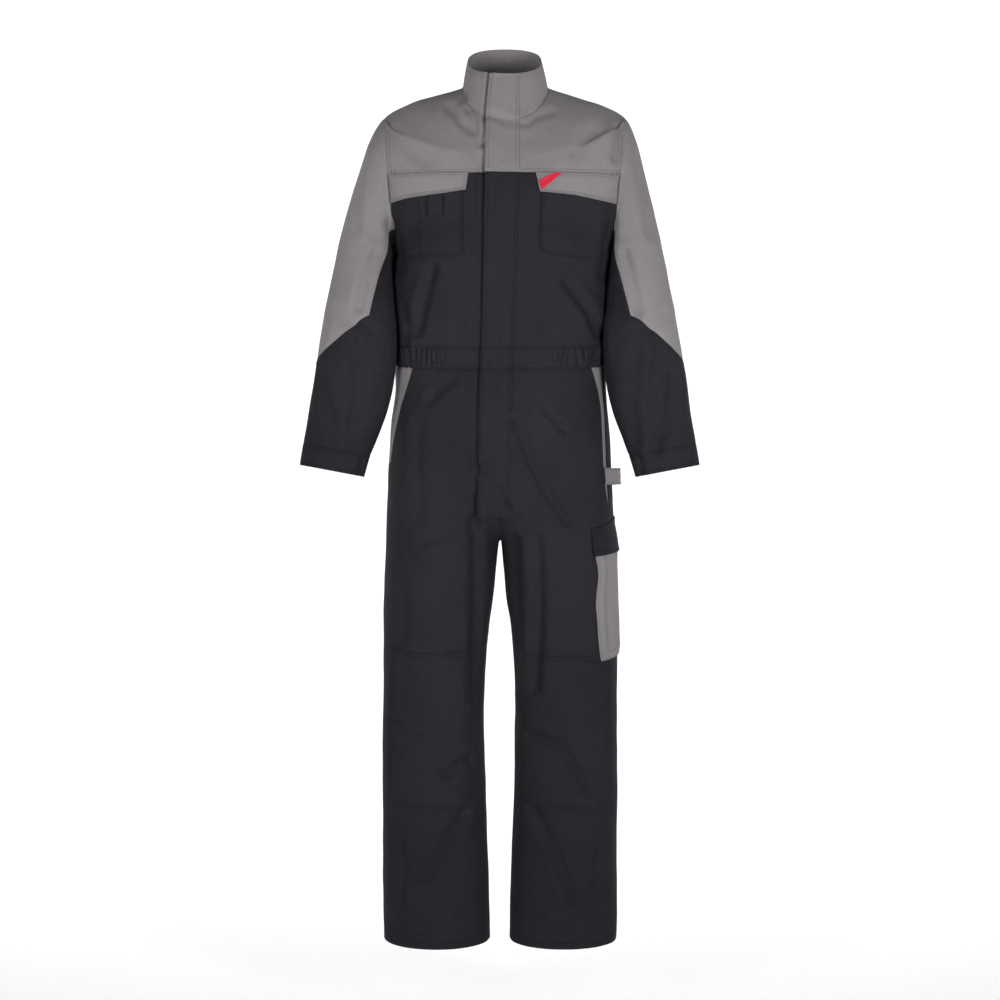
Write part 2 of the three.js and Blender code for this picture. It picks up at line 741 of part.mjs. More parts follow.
add('sleeve_patch', layer({
  view: 'side', outline: sleevePatch, panels: ['sleeve_upper_left'], lift: seamGap,
  thick: tapeCloth,
}).intersect(outerLeft), pale);
const thigh = ['leg_front_left', 'leg_back_left'];
add('cargo_pocket', layer({
  view: 'side', outline: cargoPocket, panels: thigh, lift: seamGap, thick: cargoCloth,
}).intersect(outerLeft), grey);
add('cargo_flap', layer({
  view: 'side', outline: cargoFlap, panels: thigh, lift: cargoCloth + 2 * seamGap, thick: cloth,
}).intersect(outerLeft), dark);

// A point of the left leg at a height, on one of its columns, moved out
function onLeg(face, column, z, lift) {
  const rows = legs[1][face];
  const r = rows.findIndex((row) => points[row[column]].z < z);
  const [above, below] = [rows[r - 1][column], rows[r][column]];
  const t = (points[above].z - z) / (points[above].z - points[below].z);
  const p = points[above].clone().lerp(points[below], t);
  return p.addScaledVector(normals[above].clone().lerp(normals[below], t).normalize(), lift);
}

// The hammer loop is a strap that stands off the side seam between its two ends
function hammerLoop() {
  const { top, foot, stand, thick } = loopStrap;
  const middle = (top + foot) / 2;
  const stops = loopStrap.columns.map(([face, column]) => onLeg(face, column, middle, 0));
  const line = new THREE.CatmullRomCurve3(stops).getPoints(loopStrap.steps);
  const rims = [[], []];
  for (const [i, p] of line.entries()) {
    const out = seamGap * 3 + stand * Math.sin(Math.PI * i / loopStrap.steps) ** 0.7;
    const next = line[Math.min(i + 1, line.length - 1)];
    const last = line[Math.max(i - 1, 0)];
    const away = new THREE.Vector2(next.y - last.y, last.x - next.x).normalize();
    rims[0].push([p.x + away.x * out, p.y + away.y * out]);
    rims[1].unshift([p.x + away.x * (out + thick), p.y + away.y * (out + thick)]);
  }
  const shape = new THREE.Shape(rims.flat().map(([x, y]) => new THREE.Vector2(x, y)));
  const solid = new THREE.ExtrudeGeometry(shape, { depth: top - foot, bevelEnabled: false });
  solid.translate(0, 0, foot);
  return toSolid(solid);
}
add('hammer_loop', hammerLoop(), grey);

export default suit;
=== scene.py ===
import bpy
import bmesh
import math
import numpy as np
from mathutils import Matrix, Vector, noise
from mathutils.bvhtree import BVHTree


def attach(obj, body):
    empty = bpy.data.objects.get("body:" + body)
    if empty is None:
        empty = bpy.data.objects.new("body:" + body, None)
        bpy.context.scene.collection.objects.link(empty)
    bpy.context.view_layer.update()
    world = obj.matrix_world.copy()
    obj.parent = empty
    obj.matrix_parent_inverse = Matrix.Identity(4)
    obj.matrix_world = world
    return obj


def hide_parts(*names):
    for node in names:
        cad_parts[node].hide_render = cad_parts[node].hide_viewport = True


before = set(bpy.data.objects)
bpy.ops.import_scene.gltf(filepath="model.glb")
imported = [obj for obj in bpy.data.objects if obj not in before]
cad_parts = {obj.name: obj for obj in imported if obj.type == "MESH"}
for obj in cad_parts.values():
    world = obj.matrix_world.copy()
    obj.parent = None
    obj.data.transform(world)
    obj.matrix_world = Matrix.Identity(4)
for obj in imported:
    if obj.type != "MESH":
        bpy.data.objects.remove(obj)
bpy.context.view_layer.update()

# Lengths are in millimetres in the tables, as on the cutting table, and mm turns them
# into metres. +Z is up, the front faces -Y and the wearer's left is +X.
mm = 0.001


def table(columns, rows):
    names = columns.split()
    return [dict(zip(names, row)) for row in rows]


# Camera and light, at the photograph's angle

view = {
    'scale': 1.9,        # millimetres of the suit for each pixel of the 1000 pixel frame
    'level': -760,       # height of the middle of the frame
    'distance': 5000,
    'sensor': 36,
    'framePixels': 1000,
    'floor': -1720,
    'keyPower': 19,
    'fillPower': 16,
    'backPower': 6,
    'lampHeight': -0.8,  # metres; low, so that what faces up is a little darker
    'lampAim': -0.3,     # metres
    'lampSpread': 82,    # degrees, so that the light falls off below the knees
    'backdropPower': 170,
    'worldStrength': 0.07,
}


def addCamera():
    spread = view['scale'] * view['framePixels']
    cameraData = bpy.data.cameras.new('camera')
    cameraData.sensor_width = view['sensor']
    cameraData.lens = view['sensor'] * view['distance'] / spread
    camera = bpy.data.objects.new('camera', cameraData)
    camera.location = (0, -view['distance'] * mm, view['level'] * mm)
    camera.rotation_euler = (math.radians(90), 0, 0)
    bpy.context.collection.objects.link(camera)
    bpy.context.scene.camera = camera


def addLamp(name, place, aim, size, power, spread=180):
    lampData = bpy.data.lights.new(name, 'AREA')
    lampData.spread = math.radians(spread)
    lampData.shape = 'RECTANGLE'
    lampData.size, lampData.size_y = size
    lampData.energy = power
    lamp = bpy.data.objects.new(name, lampData)
    lamp.location = place
    lamp.rotation_euler = (Vector(aim) - Vector(place)).to_track_quat('-Z', 'Y').to_euler()
    bpy.context.collection.objects.link(lamp)


addCamera()
for name, across, size in (('key', 1.7, (0.8, 0.9)), ('fill', -1.8, (1.1, 1.1))):
    addLamp(f'{name}Lamp', (across, -2.6, view['lampHeight']), (0, 0, view['lampAim']), size,
            view[f'{name}Power'], view['lampSpread'])
for side in (-1, 1):
    addLamp(f'backLamp{side}', (side * 2.7, 2.9, -0.4), (0, 0, view['lampAim']), (1, 1.4),
            view['backPower'], view['lampSpread'])
for side in (-1, 1):
    addLamp(f'backdropLamp{side}', (side * 3.2, 1.6, 3.2), (side * 0.8, 7, -0.6), (2.4, 1.2),
            view['backdropPower'])
world = bpy.data.worlds.new('studio')
bpy.context.scene.world = world
world.use_nodes = True
world.node_tree.nodes['Background'].inputs['Color'].default_value = (1, 1, 1, 1)
world.node_tree.nodes['Background'].inputs['Strength'].default_value = view['worldStrength']
print('camera and light placed')


# Shader maths: a socket that takes + and * and gives nodes

class Value:
    def __init__(self, tree, socket):
        self.tree = tree
        self.socket = socket

    def maths(self, operation, *others):
        return self.tree.node('ShaderNodeMath', {'operation': operation}, (self, *others))

    def __add__(self, other):
        return self.maths('ADD', other)

    def __mul__(self, other):
        return self.maths('MULTIPLY', other)


class Tree:
    def __init__(self, name):
        self.material = bpy.data.materials.new(name)
        self.material.use_nodes = True
        self.nodes = self.material.node_tree.nodes
        self.links = self.material.node_tree.links
        self.shader = self.nodes['Principled BSDF']

    # Any node, from its type, its settings, and the values or links of its sockets
    def node(self, kind, settings=None, inputs=(), output=0):
        made = self.nodes.new(kind)
        for key, setting in (settings or {}).items():
            if key == 'stops':
                self.setStops(made.color_ramp, setting)
            else:
                setattr(made, key, setting)
        pairs = inputs.items() if isinstance(inputs, dict) else enumerate(inputs)
        for key, given in pairs:
            self.connect(given, made.inputs[key])
        return Value(self, made.outputs[output])

    def setStops(self, ramp, stops):
        for element, (place, shade) in zip(ramp.elements, stops):
            element.position = place
            element.color = (shade, shade, shade, 1)

    def connect(self, given, socket):
        if isinstance(given, Value):
            self.links.new(given.socket, socket)
        else:
            socket.default_value = given

    def mix(self, factor, first, second):
        settings = {'data_type': 'RGBA'}
        return self.node('ShaderNodeMix', settings, {0: factor, 6: first, 7: second}, 2)


def srgb(*levels):
    linear = [((v / 255 + 0.055) / 1.055) ** 2.4 for v in levels]
    return (*linear, 1)


# Twill: a fine diagonal weave on the cloth's own UV map, which is in metres, with
# slubs along the yarn, a heather of lighter yarns and a slow change of tone
weaveForm = {
    'pitch': 0.9,        # from one diagonal to the next
    'slant': 0.72,
    'crossYarns': 1.9,   # for each diagonal
    'bump': 0.25,
    'relief': 0.4,
    'roughness': 0.88,
    'gloss': 0.07,
}


def twill(name, shade, light, heather):
    tree = Tree(name)
    uv = tree.node('ShaderNodeUVMap', {'uv_map': 'cloth'})
    parts = tree.nodes.new('ShaderNodeSeparateXYZ')
    tree.connect(uv, parts.inputs[0])
    across, along = Value(tree, parts.outputs[0]), Value(tree, parts.outputs[1])
    turn = 2 * math.pi / (weaveForm['pitch'] * mm)
    weave = ((across + along * weaveForm['slant']) * turn).maths('SINE') * 0.5 + 0.5
    yarn = (along * (turn * weaveForm['crossYarns'])).maths('SINE') * 0.5 + 0.5
    stretched = tree.node('ShaderNodeMapping', inputs={'Vector': uv, 'Scale': (1100, 110, 1)})
    slub = tree.node('ShaderNodeTexNoise', {'noise_dimensions': '2D'},
                     {'Vector': stretched, 'Scale': 1.0, 'Detail': 2.0})
    coords = tree.node('ShaderNodeTexCoord', output=3)
    slow = tree.node('ShaderNodeTexNoise', inputs={'Vector': coords, 'Scale': 7.0, 'Detail': 3.0})
    fine = tree.node('ShaderNodeTexNoise', inputs={'Vector': coords, 'Scale': 420.0, 'Detail': 2.0})
    grain = slub * 0.55 + fine * 0.45
    lit = tree.node('ShaderNodeValToRGB', {'stops': [(0.3, 0), (0.7, 1)]}, (grain,))
    tone = lit * heather + slow * 0.5 + weave * 0.1
    tree.connect(tree.mix(tone, shade, light), tree.shader.inputs['Base Color'])
    tree.connect(slow * 0.08 + weaveForm['roughness'], tree.shader.inputs['Roughness'])
    tree.shader.inputs['Specular IOR Level'].default_value = weaveForm['gloss']
    height = weave * 0.5 + yarn * 0.2 + slub * 0.5
    bump = tree.node('ShaderNodeBump', inputs={
        'Strength': weaveForm['bump'], 'Distance': weaveForm['relief'] * mm, 'Height': height})
    tree.connect(bump, tree.shader.inputs['Normal'])
    return tree.material


def smoothTape(name, shade, light, roughness, gloss=0.08):
    tree = Tree(name)
    coords = tree.node('ShaderNodeTexCoord', output=3)
    rib = tree.node('ShaderNodeTexWave', {'wave_type': 'BANDS', 'bands_direction': 'Z'},
                    {'Vector': coords, 'Scale': 330.0, 'Distortion': 0.4})
    slow = tree.node('ShaderNodeTexNoise', inputs={'Vector': coords, 'Scale': 60.0})
    tree.connect(tree.mix(rib * 0.35 + slow * 0.4, shade, light), tree.shader.inputs['Base Color'])
    tree.connect(rib * 0.08 + roughness, tree.shader.inputs['Roughness'])
    tree.shader.inputs['Specular IOR Level'].default_value = gloss
    bump = tree.node('ShaderNodeBump', inputs={'Strength': 0.3, 'Distance': 0.0002, 'Height': rib})
    tree.connect(bump, tree.shader.inputs['Normal'])
    return tree.material


cloths = {
    'grey': twill('greyTwill', srgb(90, 87, 88), srgb(124, 120, 121), heather=0.4),
    'dark': twill('darkTwill', srgb(15, 15, 18), srgb(38, 38, 43), heather=0.55),
    'tape': smoothTape('zipTape', srgb(20, 20, 24), srgb(34, 34, 40), 0.8),
    'red': smoothTape('redTape', srgb(160, 24, 44), srgb(186, 36, 56), 0.55, gloss=0.15),
    'pale': smoothTape('palePatch', srgb(205, 204, 200), srgb(228, 227, 224), 0.5),
    'greyThread': smoothTape('greyThread', srgb(62, 60, 61), srgb(84, 81, 82), 0.6),
    'darkThread': smoothTape('darkThread', srgb(4, 4, 6), srgb(11, 11, 14), 0.6),
}
print('materials ready')


# The pattern: rings of the body, the sleeves and the legs

body = {
    'columns': 10,       # from the centre line to the side
    'sideY': 8,
    'bodyRound': 0.84,
    'legRound': 0.9,
    'centreDrop': 1.35,  # how a row's height goes over from its edge to the centre line
    'yokeRow': 7,
    'armTop': 4,
    'armBottom': 11,
    'bandRows': 2,
    'shoulders': table('edgeX edgeY edgeZ frontY frontZ backY backZ turn', [
        [81, 8, 24, -85, -51, 72, 45, 90],
        [87, 8, 22, -87, -54, 73, 42, 90],
        [130, 10, 9, -93, -68, 80, 25, 88],
        [180, 11, -6, -100, -84, 90, 2, 84],
    ]),
    'armhole': table('angle frontY frontZ backY backZ turn', [
        [0, -107, -100, 99, -22, 76],
        [30, -113, -115, 107, -55, 62],
        [57, -119, -132, 114, -100, 52],
        [83, -125, -152, 121, -150, 47],
        [107, -132, -195, 127, -195, 47],
        [130, -136, -238, 130, -238, 52],
        [155, -137, -272, 131, -272, 68],
        [180, -137, -303, 131, -303, 90],
    ]),
    'sides': table('edgeX edgeZ frontY frontZ backY backZ', [
        [203.5, -345, -135, -347, 129, -345],
        [203, -390, -131, -392, 124, -390],
        [202, -430, -126, -436, 119, -430],
        [201, -467, -121, -476, 115, -470],
        [199, -486, -120, -496, 114, -490],
        [200, -505, -121, -517, 116, -510],
    ]),
    'sway': [(40, 10), (-60, 8), (-160, 7), (-300, 6), (-470, 4), (-600, 0)],
}

leg = {
    'riseTop': -705,
    'crotch': -839,
    'riseFoot': -900,
    'riseSpread': 0.4,
    'riseAngles': [24, 44, 62, 78, 90],
    'crotchRow': {'inner': 2, 'outer': 219, 'front': 114, 'back': 120},
    'hips': table('z inner outer front back drop', [
        [-550, 0, 200, 127, 126, 8],
        [-600, 0, 205, 131, 136, 4],
        [-655, 0, 209, 133, 142, 0],
        [-705, 0, 212, 133, 143, 0],
    ]),
    'rings': table('z inner outer front back drop', [
        [-940, 12, 220, 103, 107, 0],
        [-985, 19, 221, 96, 98, 0],
        [-1039, 24, 222, 90, 91, 0],
        [-1100, 27.5, 221.5, 86, 85, 0],
        [-1160, 29.5, 222, 83, 80, 0],
        [-1220, 29.5, 223, 80, 76, 0],
        [-1280, 28, 223, 78, 73, 0],
        [-1336, 26, 223, 76, 71, 0],
        [-1400, 23.5, 223, 74, 70, 0],
        [-1465, 21.5, 223, 72, 69, 2],
        [-1530, 19.5, 222, 70, 68, 6],
        [-1590, 18.5, 221, 68, 67, 13],
    ]),
}

sleeve = {
    'rings': table('outerX outerZ innerX innerZ midY depth', [
        [228, -33, 204, -301, 10, 78],
        [249, -68, 203.5, -308, 7, 76],
        [266, -124, 203, -317, 2, 74],
        [282, -182, 202.5, -329, -5, 72],
        [297, -242, 201.5, -346, -14, 69],
        [311, -310, 199.5, -376, -25, 66],
        [324, -378, 197.5, -416, -37, 63],
        [336, -445, 194.5, -466, -45, 60],
        [347, -510, 196.5, -528, -49, 57],
        [357, -573, 213, -592, -48, 53],
        [365, -622, 229, -642, -45, 49],
        [370, -652, 242, -675, -43, 46],
        [374, -674, 249, -697, -42, 45],
        [377, -694, 255, -717, -41, 44],
    ]),
    'greyEdge': 5,       # column where the grey piece ends at the armhole
    'seamRows': 7,
    'seamOuter': 7.76,
    'seamCorner': 6.25,
    'seamRise': 0.35,    # how far the corner row climbs with each column past the corner
    'cornerAngle': 106,
    'bulgeAngle': 131,
    'belowAngle': 97,
    'lowerRows': [0.26, 0.52, 0.77, 1],
    'cuffTop': 11,
}

collar = {'width': 71, 'front': -60, 'back': 76, 'frontZ': 41, 'slope': 0.5, 'swell': 1.2,
          'round': 0.82, 'steps': [0.1, 0.4, 0.72, 1]}


def lerp(a, b, t):
    return a + (b - a) * t


# A smooth curve through one column of a table, at a place between its rows
def between(rows, key, at):
    last = len(rows) - 1
    i = min(int(at), last - 1)
    t = at - i
    p = [rows[min(max(i + k, 0), last)][key] for k in (-1, 0, 1, 2)]
    before, after = (p[2] - p[0]) / 2, (p[3] - p[1]) / 2
    bend = 2 * p[1] - 2 * p[2] + before + after
    swing = -3 * p[1] + 3 * p[2] - 2 * before - after
    return ((bend * t + swing) * t + before) * t + p[1]


def swayAt(z):
    heights = [-pair[0] for pair in body['sway']]
    return float(np.interp(-z, heights, [pair[1] for pair in body['sway']]))


class Cage:
    def __init__(self):
        self.points = []
        self.quads = []      # panel, four corners, four UV pairs

    def add(self, x, y, z, swayShare=1.0):
        self.points.append((x + swayShare * swayAt(z), y, z))
        return len(self.points) - 1

    # A grid of corners becomes quads of one or more panels, with UVs in metres
    def weave(self, grid, panelOf, side, closed=False, mirror=1):
        grid = np.array(grid)
        wide = np.hstack([grid, grid[:, :1]]) if closed else grid
        place = np.array(self.points)[wide]
        across = np.linalg.norm(np.diff(place, axis=1), axis=2)
        down = np.linalg.norm(np.diff(place, axis=0), axis=2).mean(axis=1)
        u = np.hstack([np.zeros((len(wide), 1)), np.cumsum(across, axis=1)]) * mm * mirror
        v = np.concatenate([[0], np.cumsum(down)]) * -mm
        for r in range(wide.shape[0] - 1):
            for c in range(wide.shape[1] - 1):
                ring = [(r, c), (r + 1, c), (r + 1, c + 1), (r, c + 1)]
                if side < 0:
                    ring = ring[::-1]
                corners = [int(wide[i, j]) for i, j in ring]
                self.quads.append((panelOf(r, c), corners, [(u[i, j], v[i]) for i, j in ring]))


cage = Cage()
sideNames = {1: 'left', -1: 'right'}
quarters = [(side, face) for side in (1, -1) for face in ('front', 'back')]


# The way round that a quarter's quads are listed
def turnOf(side, face):
    return side if face == 'front' else -side


def sleevePoint(side, ring, angle):
    part = {key: between(sleeve['rings'], key, ring) for key in sleeve['rings'][0]}
    across = (1 + math.cos(math.radians(angle))) / 2
    x = lerp(part['innerX'], part['outerX'], across)
    y = part['midY'] - part['depth'] * math.sin(math.radians(angle))
    z = lerp(part['innerZ'], part['outerZ'], across)
    return side * x, y, z


def torsoRings():
    rings = []
    for row in body['shoulders']:
        edge = (row['edgeX'], row['edgeY'], row['edgeZ'])
        rings.append({**row, 'front': edge, 'back': edge, 'open': False})
    for row in body['armhole']:
        rings.append({**row, 'front': sleevePoint(1, 0, row['angle']),
                      'back': sleevePoint(1, 0, -row['angle']), 'open': 0 < row['angle'] < 180})
    for row in body['sides']:
        edge = (row['edgeX'], body['sideY'], row['edgeZ'])
        rings.append({**row, 'front': edge, 'back': edge, 'turn': 90, 'open': False})
    return rings


def torsoPoint(side, edge, centreY, centreZ, turn, share):
    full = math.radians(turn)
    angle = full * share
    fullness = body['bodyRound'] if turn > 60 else 1
    across = (math.sin(angle) / math.sin(full)) ** fullness
    deep = max((math.cos(angle) - math.cos(full)) / (1 - math.cos(full)), 0) ** fullness
    z = lerp(edge[2], centreZ, deep ** body['centreDrop'])
    return side * edge[0] * across, lerp(edge[1], centreY, deep), z


rings = torsoRings()
count = body['columns']
grids = {}


# One row of corners from the centre line to the edge, where given corners are shared
def rowOf(pointAt, first=None, last=None):
    row = []
    for c in range(count + 1):
        if c == 0 and first is not None:
            row.append(first)
        elif c == count and last is not None:
            row.append(last)
        else:
            row.append(cage.add(*pointAt(c / count)))
    return row


def layTorso():
    for side, face in quarters:
        grids['torso', side, face] = []
    for r, ring in enumerate(rings):
        for side, face in quarters:
            def pointAt(share):
                place = torsoPoint(side, ring[face], ring[face + 'Y'], ring[face + 'Z'],
                                   ring['turn'], share)
                return (*place, 1 - share ** 2 if r > body['armBottom'] else 1)
            first = grids['torso', 1, face][r][0] if side < 0 else None
            shared = face == 'back' and not ring['open']
            last = grids['torso', side, 'front'][r][count] if shared else None
            grids['torso', side, face].append(rowOf(pointAt, first, last))

    bandTop = len(rings) - 1 - body['bandRows']
    for side, face in quarters:
        def panelOf(r, c):
            part = 'yoke' if r < body['yokeRow'] else 'body'
            if r >= bandTop:
                part = 'waistband'
            return f'{part}_front_{sideNames[side]}' if face == 'front' else f'{part}_back'
        cage.weave(grids['torso', side, face], panelOf, turnOf(side, face), mirror=side)


def collarPoint(side, face, c, share):
    base = cage.points[grids['torso', side, face][0][c]]
    angle = math.radians(90 * c / count)
    middle = (collar['front'] + collar['back']) / 2
    depth = collar[face] - middle
    topX = side * collar['width'] * math.sin(angle) ** collar['round'] + swayAt(0)
    topY = middle + depth * max(math.cos(angle), 0) ** collar['round']
    topZ = collar['frontZ'] + collar['slope'] * (topY - collar['front'])
    swell = collar['swell'] * math.sin(math.pi * share)
    x = lerp(base[0], topX, share) + side * swell * math.sin(angle)
    y = lerp(base[1], topY, share) + math.copysign(swell, depth) * math.cos(angle) * 0.5
    return x, y, lerp(base[2], topZ, share)


def layCollar():
    for side, face in quarters:
        grids['collar', side, face] = [grids['torso', side, face][0]]
    for step, height in enumerate(collar['steps'], 1):
        for side, face in quarters:
            def pointAt(share):
                return (*collarPoint(side, face, round(share * count), height), 0)
            first = grids['collar', 1, face][step][0] if side < 0 else None
            last = grids['collar', side, 'front'][step][count] if face == 'back' else None
            grids['collar', side, face].append(rowOf(pointAt, first, last))
    for side, face in quarters:
        cage.weave(grids['collar', side, face][::-1], lambda r, c: 'collar',
                   turnOf(side, face), mirror=side)


def sleevePlace(row, column):
    angles = [ring['angle'] for ring in body['armhole']]
    edgeColumn = sleeve['greyEdge']
    start = angles[edgeColumn]
    turned = math.radians(sleeve['cornerAngle'] * angles[min(column, edgeColumn)] / start)
    inwards = (1 - math.cos(turned)) / (1 - math.cos(math.radians(sleeve['cornerAngle'])))
    seamAt = lerp(sleeve['seamOuter'], sleeve['seamCorner'], inwards)
    seamAt -= sleeve['seamRise'] * max(column - edgeColumn, 0)
    seamRows, lower = sleeve['seamRows'], sleeve['lowerRows']
    if row <= seamRows:
        ring = seamAt * row / seamRows
    elif row <= seamRows + len(lower):
        ring = lerp(seamAt, sleeve['cuffTop'], lower[row - seamRows - 1])
    else:
        ring = sleeve['cuffTop'] + row - seamRows - len(lower)
    corner = sleeve['seamCorner']
    edge = float(np.interp(ring, [0, corner / 2, corner, corner + 1.3], [
        start, sleeve['bulgeAngle'], sleeve['cornerAngle'], sleeve['belowAngle']]))
    if column <= edgeColumn:
        return ring, angles[column] * edge / start
    return ring, lerp(edge, 180, (angles[column] - start) / (180 - start))


def laySleeve(side):
    steps = len(body['armhole']) - 1
    around = 2 * steps
    rowCount = sleeve['seamRows'] + len(sleeve['lowerRows'])
    rowCount += len(sleeve['rings']) - 1 - sleeve['cuffTop']
    grid = []
    for row in range(rowCount + 1):
        line = []
        for j in range(around):
            behind = j > steps
            column = around - j if behind else j
            if row == 0:
                face = 'back' if behind else 'front'
                line.append(grids['torso', side, face][body['armTop'] + column][count])
            else:
                ring, angle = sleevePlace(row, column)
                place = sleevePoint(side, ring, -angle if behind else angle)
                line.append(cage.add(*place, max(0, 1 - ring / 4)))
        grid.append(line)

    def panelOf(r, c):
        part = 'sleeve_lower'
        if r < sleeve['seamRows'] and (c < sleeve['greyEdge'] or c >= around - sleeve['greyEdge']):
            part = 'sleeve_upper'
        if r >= sleeve['seamRows'] + len(sleeve['lowerRows']):
            part = 'cuff'
        return f'{part}_{sideNames[side]}'

    cage.weave(grid, panelOf, -side, closed=True)
    grids['sleeve', side] = grid


def legRings():
    top = leg['hips'][-1]
    foot = leg['crotchRow']
    made = [{**row, 'sideZ': row['z'], 'parted': 0, 'sideParted': 0} for row in leg['hips']]
    for i, angle in enumerate(leg['riseAngles']):
        even = (i + 1) / len(leg['riseAngles'])
        ring = {key: lerp(top[key], foot[key], even) for key in foot}
        turned = math.radians(angle)
        ring.update(z=lerp(leg['riseTop'], leg['crotch'], math.sin(turned)), drop=0,
                    sideZ=lerp(leg['riseTop'], leg['riseFoot'], even),
                    parted=1 - math.cos(turned), sideParted=even)
        made.append(ring)
    return made + [{**row, 'sideZ': row['z'], 'parted': 1, 'sideParted': 1}
                   for row in leg['rings']]


def legPoint(side, ring, face, share):
    depth = ring[face] * (-1 if face == 'front' else 1)
    quarter, half = math.radians(90 * share), math.radians(180 * share)
    t = min(share / leg['riseSpread'], 1)
    spread = t * t * (3 - 2 * t)
    parted = lerp(ring['parted'], ring['sideParted'], spread)
    sideY = body['sideY']
    bodyX = ring['outer'] * math.sin(quarter) ** body['bodyRound']
    bodyY = sideY + (depth - sideY) * max(math.cos(quarter), 0) ** body['bodyRound']
    legX = lerp(ring['inner'], ring['outer'], (1 - math.cos(half)) / 2)
    legY = sideY + (depth - sideY) * max(math.sin(half), 0) ** body['legRound']
    deep = lerp(math.cos(quarter), math.sin(half), parted)
    z = lerp(ring['z'], ring['sideZ'], spread) - ring['drop'] * deep
    return side * lerp(bodyX, legX, parted), lerp(bodyY, legY, parted), z


def layLegs():
    partedFrom = len(leg['hips']) + len(leg['riseAngles']) - 1
    for side, face in quarters:
        grids['leg', side, face] = [grids['torso', side, face][-1]]
    for r, ring in enumerate(legRings()):
        for side, face in quarters:
            def pointAt(share):
                return legPoint(side, ring, face, share)
            first = None
            if r < partedFrom and side < 0:
                first = grids['leg', 1, face][r + 1][0]
            if r >= partedFrom and face == 'back':
                first = grids['leg', side, 'front'][r + 1][0]
            last = grids['leg', side, 'front'][r + 1][count] if face == 'back' else None
            grids['leg', side, face].append(rowOf(pointAt, first, last))
    for side, face in quarters:
        name = f'leg_{face}_{sideNames[side]}'
        cage.weave(grids['leg', side, face], lambda r, c: name, turnOf(side, face), mirror=side)


layTorso()
layCollar()
laySleeve(1)
laySleeve(-1)
layLegs()
print('pattern laid out:', len(cage.points), 'corners,', len(cage.quads), 'quads')


# Folds, as on the cutting table: a line in the front view, half width, depth and face
# (-1 front, 1 back). Negative depths stand proud.

bigFolds = table('x0 z0 x1 z1 width depth face', [
    [-207, -58, -138, -128, 20, 5, -1],
    [176, -62, 148, -98, 18, 4, -1],
    [-125, -330, -152, -446, 26, 5, -1],
    [124, -356, 185, -452, 24, 5, -1],
    [-87, -538, -130, -576, 24, 4, -1],
    [33, -617, 124, -798, 24, 5, -1],
    [-48, -770, -50, -1130, 22, 6, -1],
    [30, -840, 68, -1110, 22, 5, -1],
    [-61, -1245, -104, -1272, 28, 5, -1],
    [58, -1199, 138, -1255, 26, 5, -1],
    [-68, -1350, -142, -1465, 28, 4, -1],
    [66, -1345, 135, -1510, 28, 4, -1],
    [-60, -60, -170, -190, 30, 4, 1],
    [70, -70, 180, -180, 30, 4, 1],
    [-150, -330, -80, -455, 32, 6, 1],
    [150, -320, 70, -460, 32, 6, 1],
    [-40, -700, -150, -880, 30, 6, 1],
    [40, -690, 150, -900, 30, 6, 1],
    [-60, -1180, -180, -1230, 30, 7, 1],
    [60, -1190, 180, -1225, 30, 7, 1],
    [-290, -450, -240, -560, 24, 5, -1],
    [318, -500, 285, -640, 24, 6, -1],
    [-350, -420, -260, -480, 26, 5, 1],
    [350, -430, 260, -480, 26, 5, 1],
])

